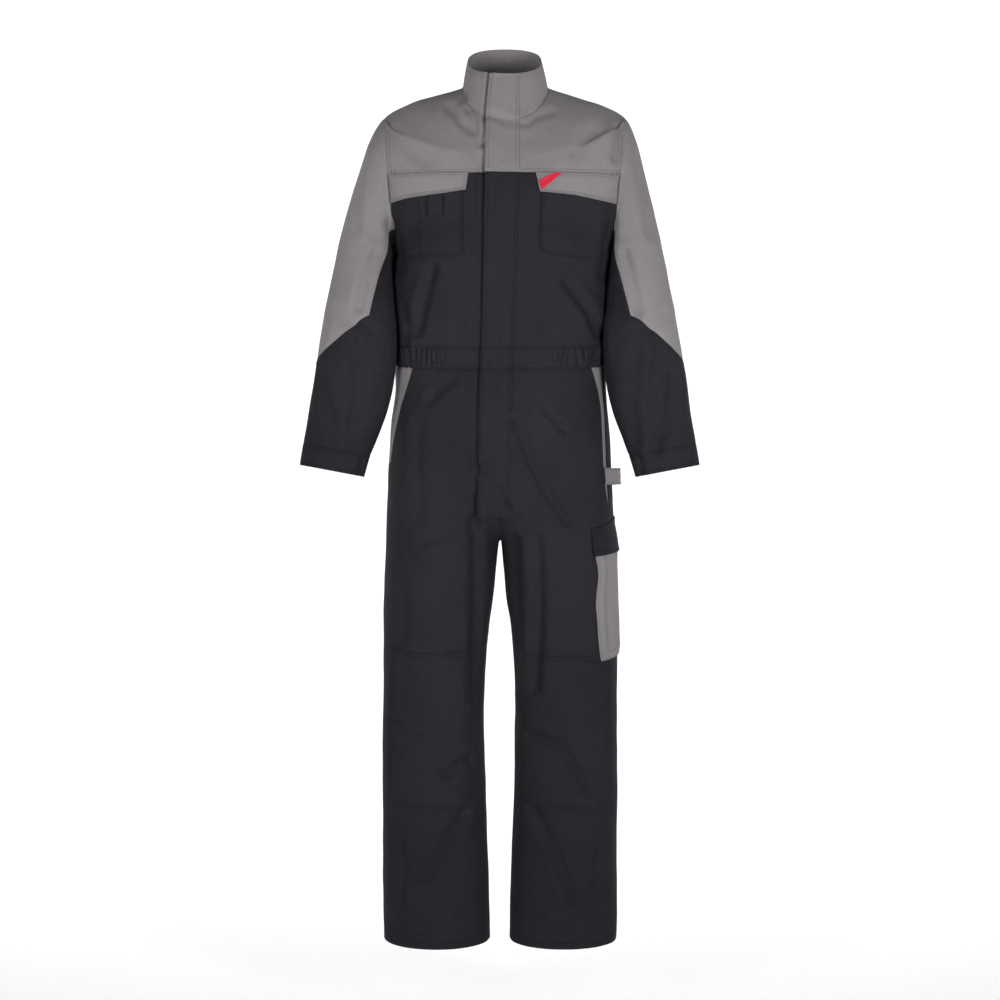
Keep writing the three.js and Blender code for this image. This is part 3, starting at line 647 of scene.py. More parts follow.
# Finer creases: a bent line, half width and depth, with a soft ridge at each side
creases = [
    # front of the yoke and neck
    ([(-200, -70), (-169, -109), (-136, -131)], 12, 1.1, -1),
    ([(172, -68), (160, -84), (140, -108)], 12, 1.0, -1),
    ([(223, -60), (221, -92), (214, -120)], 8, 2.2, -1),
    ([(-17, -42), (13, -54), (34, -56)], 8, 0.9, -1),
    ([(48, -58), (66, -44), (96, -32)], 8, 1.2, -1),
    ([(-58, -28), (-47, -60), (-34, -96)], 7, 1.7, -1),
    ([(-66, -60), (-46, -98), (-38, -140)], 10, 1.0, -1),
    ([(-95, -20), (-70, -52), (-52, -70)], 8, 1.4, -1),
    # beside the free edge of the fly cover
    ([(-20, 40), (-25, -10), (-29, -60), (-29, -152)], 4, 1.5, -1),
    ([(-29, -153), (-35.5, -445), (-41.5, -594), (-43.5, -786)], 4, 1.5, -1),
    # chest and waist
    ([(-125, -330), (-140, -386), (-155, -446)], 9, 3.0, -1),
    ([(-179, -400), (-172, -436), (-176, -462)], 7, 2.0, -1),
    ([(124, -356), (165, -404), (186, -451)], 9, 3.0, -1),
    ([(70, -410), (86, -440), (92, -462)], 8, 1.5, -1),
    ([(-84, -395), (-76, -430), (-80, -462)], 8, 1.3, -1),
    ([(-205, -240), (-190, -290), (-188, -330)], 9, 2.4, -1),
    ([(208, -240), (196, -300), (192, -345)], 9, 2.4, -1),
    # hips, rise and thighs
    ([(-34, -697), (-8, -735), (17, -777)], 7, 2.2, -1),
    ([(33, -617), (54, -678), (86, -743), (125, -799)], 9, 3.0, -1),
    ([(86, -593), (102, -610), (119, -629)], 7, 2.0, -1),
    ([(-87, -537), (-112, -552), (-130, -574)], 8, 2.0, -1),
    ([(-45, -800), (-90, -822), (-140, -835)], 9, 2.0, -1),
    ([(-48, -760), (-46, -930), (-50, -1132)], 9, 2.8, -1),
    ([(28, -834), (31, -960), (29, -1113)], 8, 2.4, -1),
    ([(69, -834), (74, -970), (67, -1113)], 9, 2.6, -1),
    ([(-150, -620), (-156, -700), (-150, -790)], 10, 1.4, -1),
    ([(-190, -880), (-176, -960), (-184, -1020)], 9, 1.6, -1),
    # knees and shins
    ([(-61, -1247), (-80, -1258), (-100, -1275)], 9, 3.0, -1),
    ([(-200, -1180), (-180, -1196), (-150, -1203)], 9, 2.0, -1),
    ([(-68, -1348), (-114, -1418), (-141, -1465)], 9, 2.8, -1),
    ([(58, -1201), (115, -1218), (138, -1258), (167, -1305)], 9, 3.0, -1),
    ([(65, -1344), (104, -1418), (135, -1508)], 9, 2.8, -1),
    ([(190, -1400), (180, -1470), (186, -1530)], 9, 1.8, -1),
    ([(-190, -1390), (-182, -1450), (-192, -1520)], 9, 1.8, -1),
    ([(-60, -1530), (-90, -1556), (-150, -1564)], 9, 1.6, -1),
    ([(60, -1540), (100, -1560), (170, -1556)], 9, 1.6, -1),
    # cuffs and sleeves, front
    ([(-257, -684), (-263, -716)], 5, 1.5, -1),
    ([(261, -684), (266, -716)], 5, 1.5, -1),
    ([(279, -470), (263, -573), (276, -667)], 10, -2.6, -1),
    ([(323, -530), (315, -613), (286, -666)], 10, 3.2, -1),
    ([(-275, -460), (-262, -560), (-282, -640)], 10, 2.6, -1),
    ([(-340, -520), (-322, -590), (-300, -650)], 10, 2.4, -1),
    ([(-232, -300), (-250, -345), (-262, -400)], 9, 2.0, -1),
    ([(232, -300), (246, -350), (258, -410)], 9, 2.2, -1),
    ([(-262, -110), (-272, -180), (-270, -250)], 10, 1.6, -1),
    ([(264, -110), (276, -190), (282, -260)], 10, 1.8, -1),
    ([(-306, -405), (-280, -432), (-240, -440)], 8, 1.8, -1),
    ([(306, -412), (282, -436), (246, -446)], 8, 1.8, -1),
    # back of the yoke and body
    ([(-60, 5), (-110, -40), (-160, -80)], 9, 2.2, 1),
    ([(64, 2), (118, -44), (172, -78)], 9, 2.2, 1),
    ([(-190, -130), (-150, -190), (-140, -260)], 11, 2.8, 1),
    ([(192, -126), (156, -192), (138, -266)], 11, 2.8, 1),
    ([(-178, -330), (-120, -400), (-92, -462)], 10, 3.0, 1),
    ([(176, -326), (124, -396), (86, -462)], 10, 3.0, 1),
    ([(-40, -380), (-30, -425), (-36, -464)], 9, 1.8, 1),
    ([(30, -390), (38, -430), (28, -464)], 9, 1.8, 1),
    # seat, backs of the thighs and knees
    ([(-8, -640), (-60, -760), (-150, -850)], 11, 3.2, 1),
    ([(10, -650), (66, -756), (150, -846)], 11, 3.2, 1),
    ([(-40, -870), (-90, -900), (-160, -910)], 10, 2.6, 1),
    ([(42, -866), (94, -902), (164, -906)], 10, 2.6, 1),
    ([(-50, -1180), (-110, -1206), (-190, -1200)], 10, 3.4, 1),
    ([(52, -1186), (112, -1210), (190, -1196)], 10, 3.4, 1),
    ([(-60, -1236), (-120, -1256), (-180, -1240)], 10, 2.6, 1),
    ([(62, -1240), (118, -1262), (178, -1244)], 10, 2.6, 1),
    ([(-70, -1350), (-110, -1430), (-120, -1540)], 11, 2.4, 1),
    ([(72, -1356), (112, -1432), (116, -1536)], 11, 2.4, 1),
    # sleeves, back
    ([(-340, -400), (-300, -440), (-240, -450)], 10, 3.0, 1),
    ([(340, -404), (304, -438), (244, -446)], 10, 3.0, 1),
    ([(-350, -470), (-300, -500), (-236, -500)], 10, 2.4, 1),
    ([(350, -466), (298, -498), (236, -504)], 10, 2.4, 1),
    ([(-250, -180), (-270, -250), (-262, -330)], 10, 2.2, 1),
    ([(252, -176), (272, -252), (264, -326)], 10, 2.2, 1),
]

creaseForm = {
    'depth': 2.1,
    'ridge': 0.5,        # share of the depth
    'ridgeAt': 2.1,      # half widths away from the line
    'ridgeWidth': 1.1,
    'facing': 1.6,       # how soon a crease is full on cloth that turns to its face
}


def lineDistance(x, z, line):
    nearest = np.full(len(x), 1e9)
    for (x0, z0), (x1, z1) in zip(line, line[1:]):
        dx, dz = x1 - x0, z1 - z0
        t = np.clip(((x - x0) * dx + (z - z0) * dz) / (dx * dx + dz * dz), 0, 1)
        nearest = np.minimum(nearest, np.hypot(x - x0 - t * dx, z - z0 - t * dz))
    return nearest


def vertexNormals(points, quads):
    corners = points[quads]
    face = np.cross(corners[:, 2] - corners[:, 0], corners[:, 3] - corners[:, 1])
    normals = np.zeros_like(points)
    for k in range(4):
        np.add.at(normals, quads[:, k], face)
    return normals / np.maximum(np.linalg.norm(normals, axis=1, keepdims=True), 1e-9)


def pressFolds(points, quads):
    normals = vertexNormals(points, quads)
    push = np.zeros(len(points))
    for fold in bigFolds:
        line = [(fold['x0'], fold['z0']), (fold['x1'], fold['z1'])]
        facing = np.maximum(0, normals[:, 1] * fold['face'])
        near = np.exp(-(lineDistance(points[:, 0], points[:, 2], line) / fold['width']) ** 2)
        push -= fold['depth'] * facing * near
    return points + normals * push[:, None]


def pressCreases(points, normals):
    push = np.zeros(len(points))
    for line, width, depth, face in creases:
        away = lineDistance(points[:, 0], points[:, 2], line)
        facing = np.clip(normals[:, 1] * face * creaseForm['facing'], 0, 1)
        trough = np.exp(-(away / width) ** 2)
        beside = away - creaseForm['ridgeAt'] * width
        ridge = np.exp(-(beside / (creaseForm['ridgeWidth'] * width)) ** 2)
        push += creaseForm['depth'] * depth * facing * (creaseForm['ridge'] * ridge - trough)
    return push


gather = {
    'top': -472,
    'foot': -516,
    'pitch': 11.5,       # from one gather to the next
    'depth': 2.3,
    'frontStart': 62,    # the front is gathered only beyond this distance from the centre
    'frontFade': 70,
    'farthest': 215,     # the sleeves are beyond it
    'wobble': 1.6,
}
waves = {'slow': 2.6, 'quick': 0.9}

# Where the sleeves hang just clear of the body, the cloth is kept plain
plainCloth = {'x': 203, 'reach': 9, 'foot': -600, 'top': -290}


def besideSleeve(points):
    near = np.abs(np.abs(points[:, 0]) - plainCloth['x']) < plainCloth['reach']
    return near & (points[:, 2] > plainCloth['foot']) & (points[:, 2] < plainCloth['top'])


# The elastic of the waistband draws the back and the sides into small gathers
def pressGathers(points, normals, run):
    middle = (gather['top'] + gather['foot']) / 2
    reach = (gather['top'] - gather['foot']) / 2
    inBand = np.exp(-((points[:, 2] - middle) / (reach * 0.86)) ** 6)
    front = normals[:, 1] < 0
    aside = np.clip((np.abs(points[:, 0]) - gather['frontStart']) / gather['frontFade'], 0, 1)
    share = np.where(front, aside, 1.0) * (np.abs(points[:, 0]) < gather['farthest'])
    share = share * (~besideSleeve(points))
    wobble = np.array([noise.noise((x * 0.02, y * 0.02, z * 0.012)) for x, y, z in points])
    phase = run / gather['pitch'] + wobble * gather['wobble']
    return gather['depth'] * share * inBand * (np.sin(2 * math.pi * phase) - 0.3)


def softWaves(points):
    slow = np.array([noise.noise((x * 0.009, y * 0.009, z * 0.006)) for x, y, z in points])
    quick = np.array([noise.noise((x * 0.031 + 7, y * 0.031, z * 0.021)) for x, y, z in points])
    return np.where(besideSleeve(points), 0, slow * waves['slow'] + quick * waves['quick'])


def selectOnly(piece):
    bpy.ops.object.select_all(action='DESELECT')
    piece.select_set(True)
    bpy.context.view_layer.objects.active = piece


def applyAll(piece):
    selectOnly(piece)
    for modifier in list(piece.modifiers):
        bpy.ops.object.modifier_apply(modifier=modifier.name)


def newPiece(name, points, polygons, uvs=None):
    mesh = bpy.data.meshes.new(name)
    mesh.from_pydata([tuple(p) for p in points], [], [list(map(int, f)) for f in polygons])
    if uvs is not None:
        layer = mesh.uv_layers.new(name='cloth')
        layer.data.foreach_set('uv', np.asarray(uvs, dtype=float).reshape(-1))
    mesh.update()
    piece = bpy.data.objects.new(name, mesh)
    bpy.context.collection.objects.link(piece)
    return piece


# The smoothed sheet should pass through the pattern's corners, so they are moved out first
def refine():
    quads = np.array([corners for _, corners, _ in cage.quads])
    points = pressFolds(np.array(cage.points), quads)
    panels = sorted({panel for panel, _, _ in cage.quads})
    uvs = [pair for _, _, corners in cage.quads for pair in corners]
    ids = [panels.index(panel) for panel, _, _ in cage.quads]
    aimed, corrections = points.copy(), 3
    for step in range(corrections + 1):
        rough = newPiece('roughSheet', aimed * mm, quads, uvs)
        rough.data.polygons.foreach_set('material_index', ids)
        for _ in panels:
            rough.data.materials.append(None)
        modifier = rough.modifiers.new('smooth', 'SUBSURF')
        modifier.levels = modifier.render_levels = 3 if step == corrections else 1
        applyAll(rough)
        mesh = rough.data
        fine = np.empty(len(mesh.vertices) * 3)
        mesh.vertices.foreach_get('co', fine)
        fine = fine.reshape(-1, 3) / mm
        if step < corrections:
            aimed += (points - fine[:len(points)]) * 1.1
            bpy.data.objects.remove(rough)
    corners = np.empty(len(mesh.loops), dtype=int)
    mesh.loops.foreach_get('vertex_index', corners)
    corners = corners.reshape(-1, 4)
    uv = np.empty(len(mesh.loops) * 2)
    mesh.uv_layers['cloth'].data.foreach_get('uv', uv)
    uv = uv.reshape(-1, 4, 2)
    owner = np.empty(len(mesh.polygons), dtype=int)
    mesh.polygons.foreach_get('material_index', owner)
    bpy.data.objects.remove(rough)
    return panels, fine, corners, uv, owner


panelNames, finePoints, fineQuads, fineUv, fineOwner = refine()
fineNormals = vertexNormals(finePoints, fineQuads)
arcRun = np.zeros(len(finePoints))
arcRun[fineQuads.reshape(-1)] = fineUv.reshape(-1, 2)[:, 0] / mm
finePoints = finePoints + fineNormals * (
    pressCreases(finePoints, fineNormals) + pressGathers(finePoints, fineNormals, arcRun)
    + softWaves(finePoints))[:, None]
fineNormals = vertexNormals(finePoints, fineQuads)
print('cloth refined:', len(fineQuads), 'quads')


# Panels: the fine sheet in its cut pieces, each with its own wall

panelForm = {
    'wall': 1.4,
    'groove': 0.8,       # how far the cloth sinks at a seam
    'armholeGroove': 3.4,
    'bandGroove': 2.2,
    'bandLift': 0.9,     # the waistband is a double cloth and stands a little proud
    'greyParts': ('yoke', 'collar', 'sleeve_upper'),
    'sharpAngle': 50,
}


# Edges of the fine sheet by the two panels they part, or by one panel and '' at an opening
def seamEdges():
    edges = np.stack([fineQuads, np.roll(fineQuads, -1, axis=1)], axis=2).reshape(-1, 2)
    edges.sort(axis=1)
    owners = np.repeat(fineOwner, 4)
    order = np.lexsort((edges[:, 1], edges[:, 0]))
    edges, owners = edges[order], owners[order]
    twins = np.flatnonzero((edges[1:] == edges[:-1]).all(axis=1))
    found = {}
    for i in twins[owners[twins] != owners[twins + 1]]:
        pair = tuple(sorted((panelNames[owners[i]], panelNames[owners[i + 1]])))
        found.setdefault(pair, []).append(edges[i])
    alone = np.ones(len(edges), dtype=bool)
    alone[twins] = alone[twins + 1] = False
    for i in np.flatnonzero(alone):
        found.setdefault((panelNames[owners[i]], ''), []).append(edges[i])
    return {pair: np.array(some) for pair, some in found.items()}


seams = seamEdges()


def seamPoints(wanted):
    return np.unique(np.concatenate([edges.ravel() for pair, edges in seams.items()
                                     if wanted(*pair)]))


def sinkPoints(points, depth):
    finePoints[points] -= fineNormals[points] * depth


band = [i for i, name in enumerate(panelNames) if name.startswith('waistband')]
sinkPoints(seamPoints(lambda one, other: other), panelForm['groove'])
sinkPoints(seamPoints(lambda one, other: one.startswith('body') and 'sleeve' in other),
           panelForm['armholeGroove'] - panelForm['groove'])
sinkPoints(np.unique(fineQuads[np.isin(fineOwner, band)]), -panelForm['bandLift'])
sinkPoints(seamPoints(lambda one, other: ('waistband' in one) != ('waistband' in other)),
           panelForm['bandGroove'])


def flatArea(grid):
    across, down = np.diff(grid, axis=1)[:-1], np.diff(grid, axis=0)[:, :-1]
    return float(np.linalg.norm(np.cross(across, down), axis=2).sum())


def finishCloth(piece, node, cloth, flat, area, held, restsOn):
    piece.data.materials.append(cloths[cloth])
    selectOnly(piece)
    bpy.ops.object.shade_smooth_by_angle(angle=math.radians(panelForm['sharpAngle']))
    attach(piece, 'root')
    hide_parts(node)
    area = min(area, flat[0] * flat[1])


def thicken(piece, thick):
    wall = piece.modifiers.new('wall', 'SOLIDIFY')
    wall.thickness = thick * mm
    wall.offset = -1
    applyAll(piece)


def cutAway(piece, outline, nearY, farY):
    n = len(outline)
    points = [(x * mm, y * mm, z * mm) for y in (nearY, farY) for x, z in outline]
    sides = [(i, i + n, (i + 1) % n + n, (i + 1) % n) for i in range(n)]
    cutter = newPiece('cutter', points, [range(n), range(2 * n - 1, n - 1, -1), *sides])
    selectOnly(cutter)
    bpy.ops.object.mode_set(mode='EDIT')
    bpy.ops.mesh.select_all(action='SELECT')
    bpy.ops.mesh.normals_make_consistent(inside=False)
    bpy.ops.object.mode_set(mode='OBJECT')
    cut = piece.modifiers.new('cut', 'BOOLEAN')
    cut.operation = 'DIFFERENCE'
    cut.object = cutter
    applyAll(piece)
    bpy.data.objects.remove(cutter)


def insideOutline(points, outline):
    inside = np.zeros(len(points), dtype=bool)
    for (x0, z0), (x1, z1) in zip(outline, outline[1:] + outline[:1]):
        crosses = (z0 > points[:, 2]) != (z1 > points[:, 2])
        rise = (z1 - z0) if z1 != z0 else 1e-9
        inside ^= crosses & (points[:, 0] < (x1 - x0) * (points[:, 2] - z0) / rise + x0)
    return inside


# A piece from some quads of the fine sheet, moved in by a depth at each corner
def sheetPiece(name, keep, sink=None):
    used, places = np.unique(fineQuads[keep], return_inverse=True)
    points = finePoints[used]
    if sink is not None:
        points = points - fineNormals[used] * sink(points)[:, None]
    piece = newPiece(name, points * mm, places.reshape(-1, 4), fineUv[keep])
    corners = fineUv[keep]
    extent = np.ptp(corners.reshape(-1, 2), axis=0)
    sides = corners[:, 2] - corners[:, 0], corners[:, 3] - corners[:, 1]
    area = float(np.abs(sides[0][:, 0] * sides[1][:, 1] - sides[0][:, 1] * sides[1][:, 0]).sum() / 2)
    return piece, [float(extent[0]), float(extent[1])], area


pocketMouths = {
    'left': [(167, -500), (176, -527), (184, -556), (189, -583), (191, -612), (193, -665),
             (194, -690), (196, -722), (200, -750), (207, -782), (204, -750), (202, -722),
             (201, -690), (199, -629), (197.5, -572), (196, -500)],
    'right': [(-159, -500), (-168, -528), (-178, -560), (-186, -584), (-192, -610),
              (-198, -634), (-203, -660), (-207, -690), (-240, -690), (-240, -500)],
}
hipFacings = {
    'left': [(145, -522), (165, -560), (172, -612), (178, -725), (196, -800), (240, -800),
             (240, -500), (150, -500)],
    'right': [(-138, -522), (-158, -562), (-173, -612), (-185, -665), (-192, -710),
              (-240, -710), (-240, -500), (-143, -500)],
}
collarSplit = [(9.4, 90), (10.6, 90), (8.6, -60), (7.4, -60)]
cutFrom = -450           # the cutters start in front of the suit
facingSink = {'front': 2.2, 'side': 0.3, 'over': 40}
hangsFrom = {
    'collar': [], 'yoke': [], 'body': ['yoke_back'], 'waistband': ['body_back'],
    'leg': ['waistband_back'], 'sleeve_upper': ['yoke_back'], 'sleeve_lower': ['yoke_back'],
    'cuff': ['sleeve_lower_left', 'sleeve_lower_right'],
}


def sewPanels():
    for i, node in enumerate(panelNames):
        part = next(part for part in hangsFrom if node.startswith(part))
        piece, flat, area = sheetPiece(f'{node}_cloth', fineOwner == i)
        if node == 'collar':
            flat[0] *= 2     # its UV map lays the back half over the front half
        thicken(piece, panelForm['wall'])
        for side, mouth in pocketMouths.items():
            if node == f'leg_front_{side}':
                cutAway(piece, mouth, cutFrom, 12)
        if node == 'collar':
            cutAway(piece, collarSplit, cutFrom, 0)
        cloth = 'grey' if part in panelForm['greyParts'] else 'dark'
        held = 'gathered' if part == 'waistband' else 'hung'
        finishCloth(piece, node, cloth, flat, area, held, hangsFrom[part])
    centres = finePoints[fineQuads].mean(axis=1)
    for side, outline in hipFacings.items():
        keep = fineOwner == panelNames.index(f'leg_front_{side}')
        keep &= insideOutline(centres, outline)

        def sink(points):
            ahead = np.clip((body['sideY'] - points[:, 1]) / facingSink['over'], 0, 1)
            return lerp(facingSink['side'], facingSink['front'], ahead)
        node = f'hip_facing_{side}'
        piece, flat, area = sheetPiece(f'{node}_cloth', keep, sink)
        thicken(piece, panelForm['wall'])
        finishCloth(piece, node, 'grey', flat, area, 'laid', [f'leg_front_{side}'])


sewPanels()
print('panels sewn:', len(panelNames) + len(hipFacings))


# Layers: pockets, flaps and patches, laid on the panels between four edges

layerForm = {
    'pitch': 3.2,        # of the grid
    'dip': 0.8,          # of the cloth along the stitches
    'dipAt': 8,
    'dipWidth': 3,
    'puckerReach': 9,
}
layerBase = {'look': 'front', 'lift': 0.2, 'pucker': 0.7, 'held': 'laid'}
outerReach = 450
layers = {}


def alongLine(line, shares):
    line = np.array(line, dtype=float)
    steps = np.hypot(*np.diff(line, axis=0).T)
    run = np.concatenate([[0], np.cumsum(steps)]) / steps.sum()
    return np.stack([np.interp(shares, run, line[:, k]) for k in (0, 1)], axis=1)


def lineLength(line):
    return float(np.hypot(*np.diff(np.array(line, dtype=float), axis=0).T).sum())


class Ground:
    def __init__(self, *names):
        self.quads = fineQuads[np.isin(fineOwner, [panelNames.index(n) for n in names])]
        self.tree = BVHTree.FromPolygons(finePoints.tolist(), self.quads.tolist())

    def normal(self, index):
        return fineNormals[self.quads[index]].mean(axis=0)

    def under(self, look, u, z):
        if look == 'front':
            hit = self.tree.ray_cast((u, -outerReach, z), (0, 1, 0))
            guess = (u, -60, z)
        else:
            hit = self.tree.ray_cast((outerReach, u, z), (-1, 0, 0))
            guess = (230, u, z)
        if hit[0] is None:
            hit = self.tree.find_nearest(guess)
        return np.array(hit[0]), self.normal(hit[2])


# Corners of a layer: rows run from the top edge to the bottom one, columns from the
# left edge to the right one, as they are seen from outside. Sides not given are straight.
def edgeGrid(form):
    top, bottom = form['top'], form['bottom']
    left = form.get('left', [top[0], bottom[0]])
    right = form.get('right', [top[-1], bottom[-1]])
    wide = max(lineLength(top), lineLength(bottom))
    tall = max(lineLength(left), lineLength(right))
    s = np.linspace(0, 1, max(4, round(wide / layerForm['pitch'])) + 1)
    t = np.linspace(0, 1, max(4, round(tall / layerForm['pitch'])) + 1)
    top, bottom = alongLine(top, s), alongLine(bottom, s)
    left, right = alongLine(left, t), alongLine(right, t)
    down, across = t[:, None, None], s[None, :, None]
    flat = (1 - down) * top + down * bottom + (1 - across) * left[:, None] + across * right[:, None]
    corners = (1 - down) * ((1 - across) * top[0] + across * top[-1])
    corners = corners + down * ((1 - across) * bottom[0] + across * bottom[-1])
    return s, t, flat - corners


def layLayer(node, given):
    form = {**layerBase, 'rests': given['on'], **given}
    ground = Ground(*form['on'])
    s, t, flat = edgeGrid(form)
    base = np.zeros((len(t), len(s), 3))
    normal = np.zeros_like(base)
    for i in range(len(t)):
        for j in range(len(s)):
            base[i, j], normal[i, j] = ground.under(form['look'], *flat[i, j])
    wide = float(np.linalg.norm(np.diff(base, axis=1), axis=2).sum(axis=1).max())
    tall = float(np.linalg.norm(np.diff(base, axis=0), axis=2).sum(axis=0).max())
    fromSide = np.minimum(s, 1 - s)[None, :] * wide
    fromEnd = np.minimum(t, 1 - t)[:, None] * tall
    edge = np.minimum(fromSide, fromEnd)
    pucker = np.array([[noise.noise((s[j] * wide * 0.09, t[i] * tall * 0.09, wide))
                        for j in range(len(s))] for i in range(len(t))])
    pucker *= form['pucker'] * np.exp(-edge / layerForm['puckerReach'])
    dip = np.exp(-((edge - layerForm['dipAt']) / layerForm['dipWidth']) ** 2)
    lift = form['lift'] + form['thick'] + pucker - layerForm['dip'] * dip
    if 'rise' in form:
        lift = lift + form['rise'](s[None, :], t[:, None])
    surface = base + normal * lift[..., None]
    columns = len(s)
    quads = [(i * columns + j, (i + 1) * columns + j, (i + 1) * columns + j + 1,
              i * columns + j + 1) for i in range(len(t) - 1) for j in range(columns - 1)]
    uvs = [(s[k % columns] * wide * mm, -t[k // columns] * tall * mm) for q in quads for k in q]
    piece = newPiece(f'{node}_cloth', surface.reshape(-1, 3) * mm, quads, uvs)
    thicken(piece, form['thick'])
    finishCloth(piece, node, form['cloth'], [wide * mm, tall * mm],
                flatArea(base) * mm * mm, form['held'], list(form['rests']))
    layers[node] = {'surface': surface, 'normal': normal, 'wide': wide, 'tall': tall}


# The foot of a flap stands away in soft waves
def flare(s, t):
    return 3.4 * t ** 2 * (0.75 + 0.25 * np.cos(s * 9))


# A chest flap hangs free at its foot and is caught in the armhole seam at one end
def flapHang(caughtEnd):
    def rise(s, t):
        away = np.clip(np.abs(s - caughtEnd) / 0.12, 0, 1)
        return flare(s, t) * away - 1.6 * (1 - away) ** 2
    return rise


# The bellows of the cargo pocket: full inside its edges, with a groove beside the front one
def bellows(s, t):
    full = 3.4 * np.clip(np.minimum(s, 1 - s) / 0.12, 0, 1) ** 0.5
    groove = 2.4 * np.exp(-((s - 0.11) / 0.025) ** 2)
    ends = np.clip(t / 0.06, 0, 1) * np.clip((1 - t) / 0.07, 0, 1) ** 0.5
    return (full - groove) * ends


# The cover's left edge is free and its right edge is sewn into the front
def freeLeft(amount):
    return lambda s, t: (amount * np.clip(1 - s / 0.6, 0, 1) ** 1.3
                         - 1.9 * np.clip((s - 0.8) / 0.2, 0, 1) ** 2)


frontPanels = [f'{part}_front_{side}' for part in ('yoke', 'body', 'waistband', 'leg')
               for side in ('left', 'right')]
onLeft, onRight = ['body_front_left'], ['body_front_right']
onThigh = ['leg_front_left', 'leg_back_left']
flapLift = 2.0

flyCover = {
    'fly_cover_upper': {
        'top': [(-15, 40), (37, 40)], 'bottom': [(-24, -152.2), (38, -152.2)],
        'left': [(-15, 40), (-20, -10), (-24, -60), (-24, -152.2)],
        'right': [(37, 40), (39, -52), (38, -152.2)],
        'lift': 0.3, 'thick': 1.8, 'cloth': 'grey', 'held': 'hung', 'rise': freeLeft(3.4),
        'on': ['collar', *frontPanels], 'rests': ['yoke_front_left'],
    },
    'fly_cover_lower': {
        'top': [(-24, -152.6), (38, -152.6)], 'bottom': [(-38.5, -791), (18, -792)],
        'left': [(-24, -152.6), (-30.5, -445), (-36.5, -594), (-38.5, -791)],
        'right': [(38, -152.6), (34, -320), (29, -445), (24, -594), (18, -792)],
        'lift': 0.3, 'thick': 1.8, 'cloth': 'dark', 'held': 'hung', 'rise': freeLeft(3.6),
        'on': frontPanels, 'rests': ['body_front_left', 'leg_front_left'],
    },
    'zip_tape': {
        'top': [(-4, 36), (24, 36)], 'bottom': [(-14, -770), (14, -770)],
        'left': [(-4, 36), (-7, -150), (-10, -470), (-14, -600), (-14, -770)],
        'right': [(24, 36), (21, -150), (18, -470), (14, -600), (14, -770)],
        'lift': -3.2, 'thick': 1.1, 'cloth': 'tape', 'held': 'hung', 'pucker': 0,
        'on': ['collar', *frontPanels], 'rests': ['yoke_front_left', 'body_front_left'],
    },
}

chest = {
    'chest_pocket_left': {
        'top': [(77, -160), (203, -160)],
        'bottom': [(73, -289), (77, -297), (86, -305), (175, -315), (185, -312), (191, -303)],
        'thick': 2.3, 'cloth': 'dark', 'on': onLeft,
    },
    'chest_pocket_right': {
        'top': [(-185, -160), (-69, -160)], 'bottom': [(-185, -299), (-175, -311), (-69, -309)],
        'thick': 2.3, 'cloth': 'dark', 'on': onRight,
    },
    'chest_flap_left': {
        'top': [(66, -152.4), (228, -150.2)], 'bottom': [(73, -189), (137, -193), (222, -206)],
        'lift': flapLift, 'thick': 1.7, 'cloth': 'grey', 'held': 'hung', 'rise': flapHang(1),
        'on': onLeft, 'rests': ['body_front_left', 'chest_pocket_left'],
    },
    'chest_flap_right': {
        'top': [(-214, -150.2), (-58, -152.4)],
        'bottom': [(-209, -205), (-175, -197), (-98, -190), (-63, -185)],
        'lift': flapLift, 'thick': 1.7, 'cloth': 'grey', 'held': 'hung', 'rise': flapHang(0),
        'on': onRight, 'rests': ['body_front_right', 'chest_pocket_right'],
    },
    'pocket_strap': {
        'top': [(-132, -188), (-104, -188)], 'bottom': [(-132, -234), (-104, -234)],
        'lift': 1.8, 'thick': 1.4, 'cloth': 'dark',
        'rise': lambda s, t: 4.6 * np.sin(np.pi * t) ** 0.6,
        'on': onRight, 'rests': ['chest_pocket_right'],
    },
    'chest_tape': {
        'top': [(99, -153.2), (114, -153.2)], 'bottom': [(71, -169), (77, -186)],
        'lift': flapLift + 2.0, 'thick': 0.9, 'cloth': 'red',
        'rise': lambda s, t: flare(s, np.clip(t * 0.8 + s * 0.2, 0, 1)),
        'on': onLeft, 'rests': ['chest_flap_left'],
    },
}

sidePieces = {
    'sleeve_patch': {
        'look': 'side', 'top': [(-42, -390), (24, -388)], 'bottom': [(-42, -415), (24, -413)],
        'thick': 0.9, 'cloth': 'pale', 'pucker': 0.2, 'on': ['sleeve_upper_left'],
    },
    'cargo_pocket': {
        'look': 'side', 'top': [(-90, -845), (10, -838), (84, -832)],
        'bottom': [(-68, -1062), (20, -1046), (80, -1033)],
        'left': [(-90, -845), (-81, -960), (-68, -1062)],
        'thick': 2.4, 'cloth': 'grey', 'rise': bellows, 'on': onThigh,
    },
    'cargo_flap': {
        'look': 'side', 'top': [(-91, -815), (-35, -797), (20, -790), (86, -783)],
        'bottom': [(-92, -866), (10, -851), (86, -838)],
        'lift': 1.2, 'thick': 1.7, 'cloth': 'dark', 'held': 'hung',
        'rise': lambda s, t: 6.5 * np.clip((t - 0.25) / 0.75, 0, 1) ** 0.8,
        'on': onThigh, 'rests': ['leg_front_left', 'cargo_pocket'],
    },
    'hammer_loop': {
        'look': 'side', 'top': [(-58, -700), (36, -700)], 'bottom': [(-58, -731), (36, -731)],
        'lift': 0.6, 'thick': 1.9, 'cloth': 'grey', 'held': 'hung', 'pucker': 0.3,
        'rise': lambda s, t: 15 * np.sin(np.pi * s ** 1.4) ** 0.8, 'on': onThigh,
    },
}

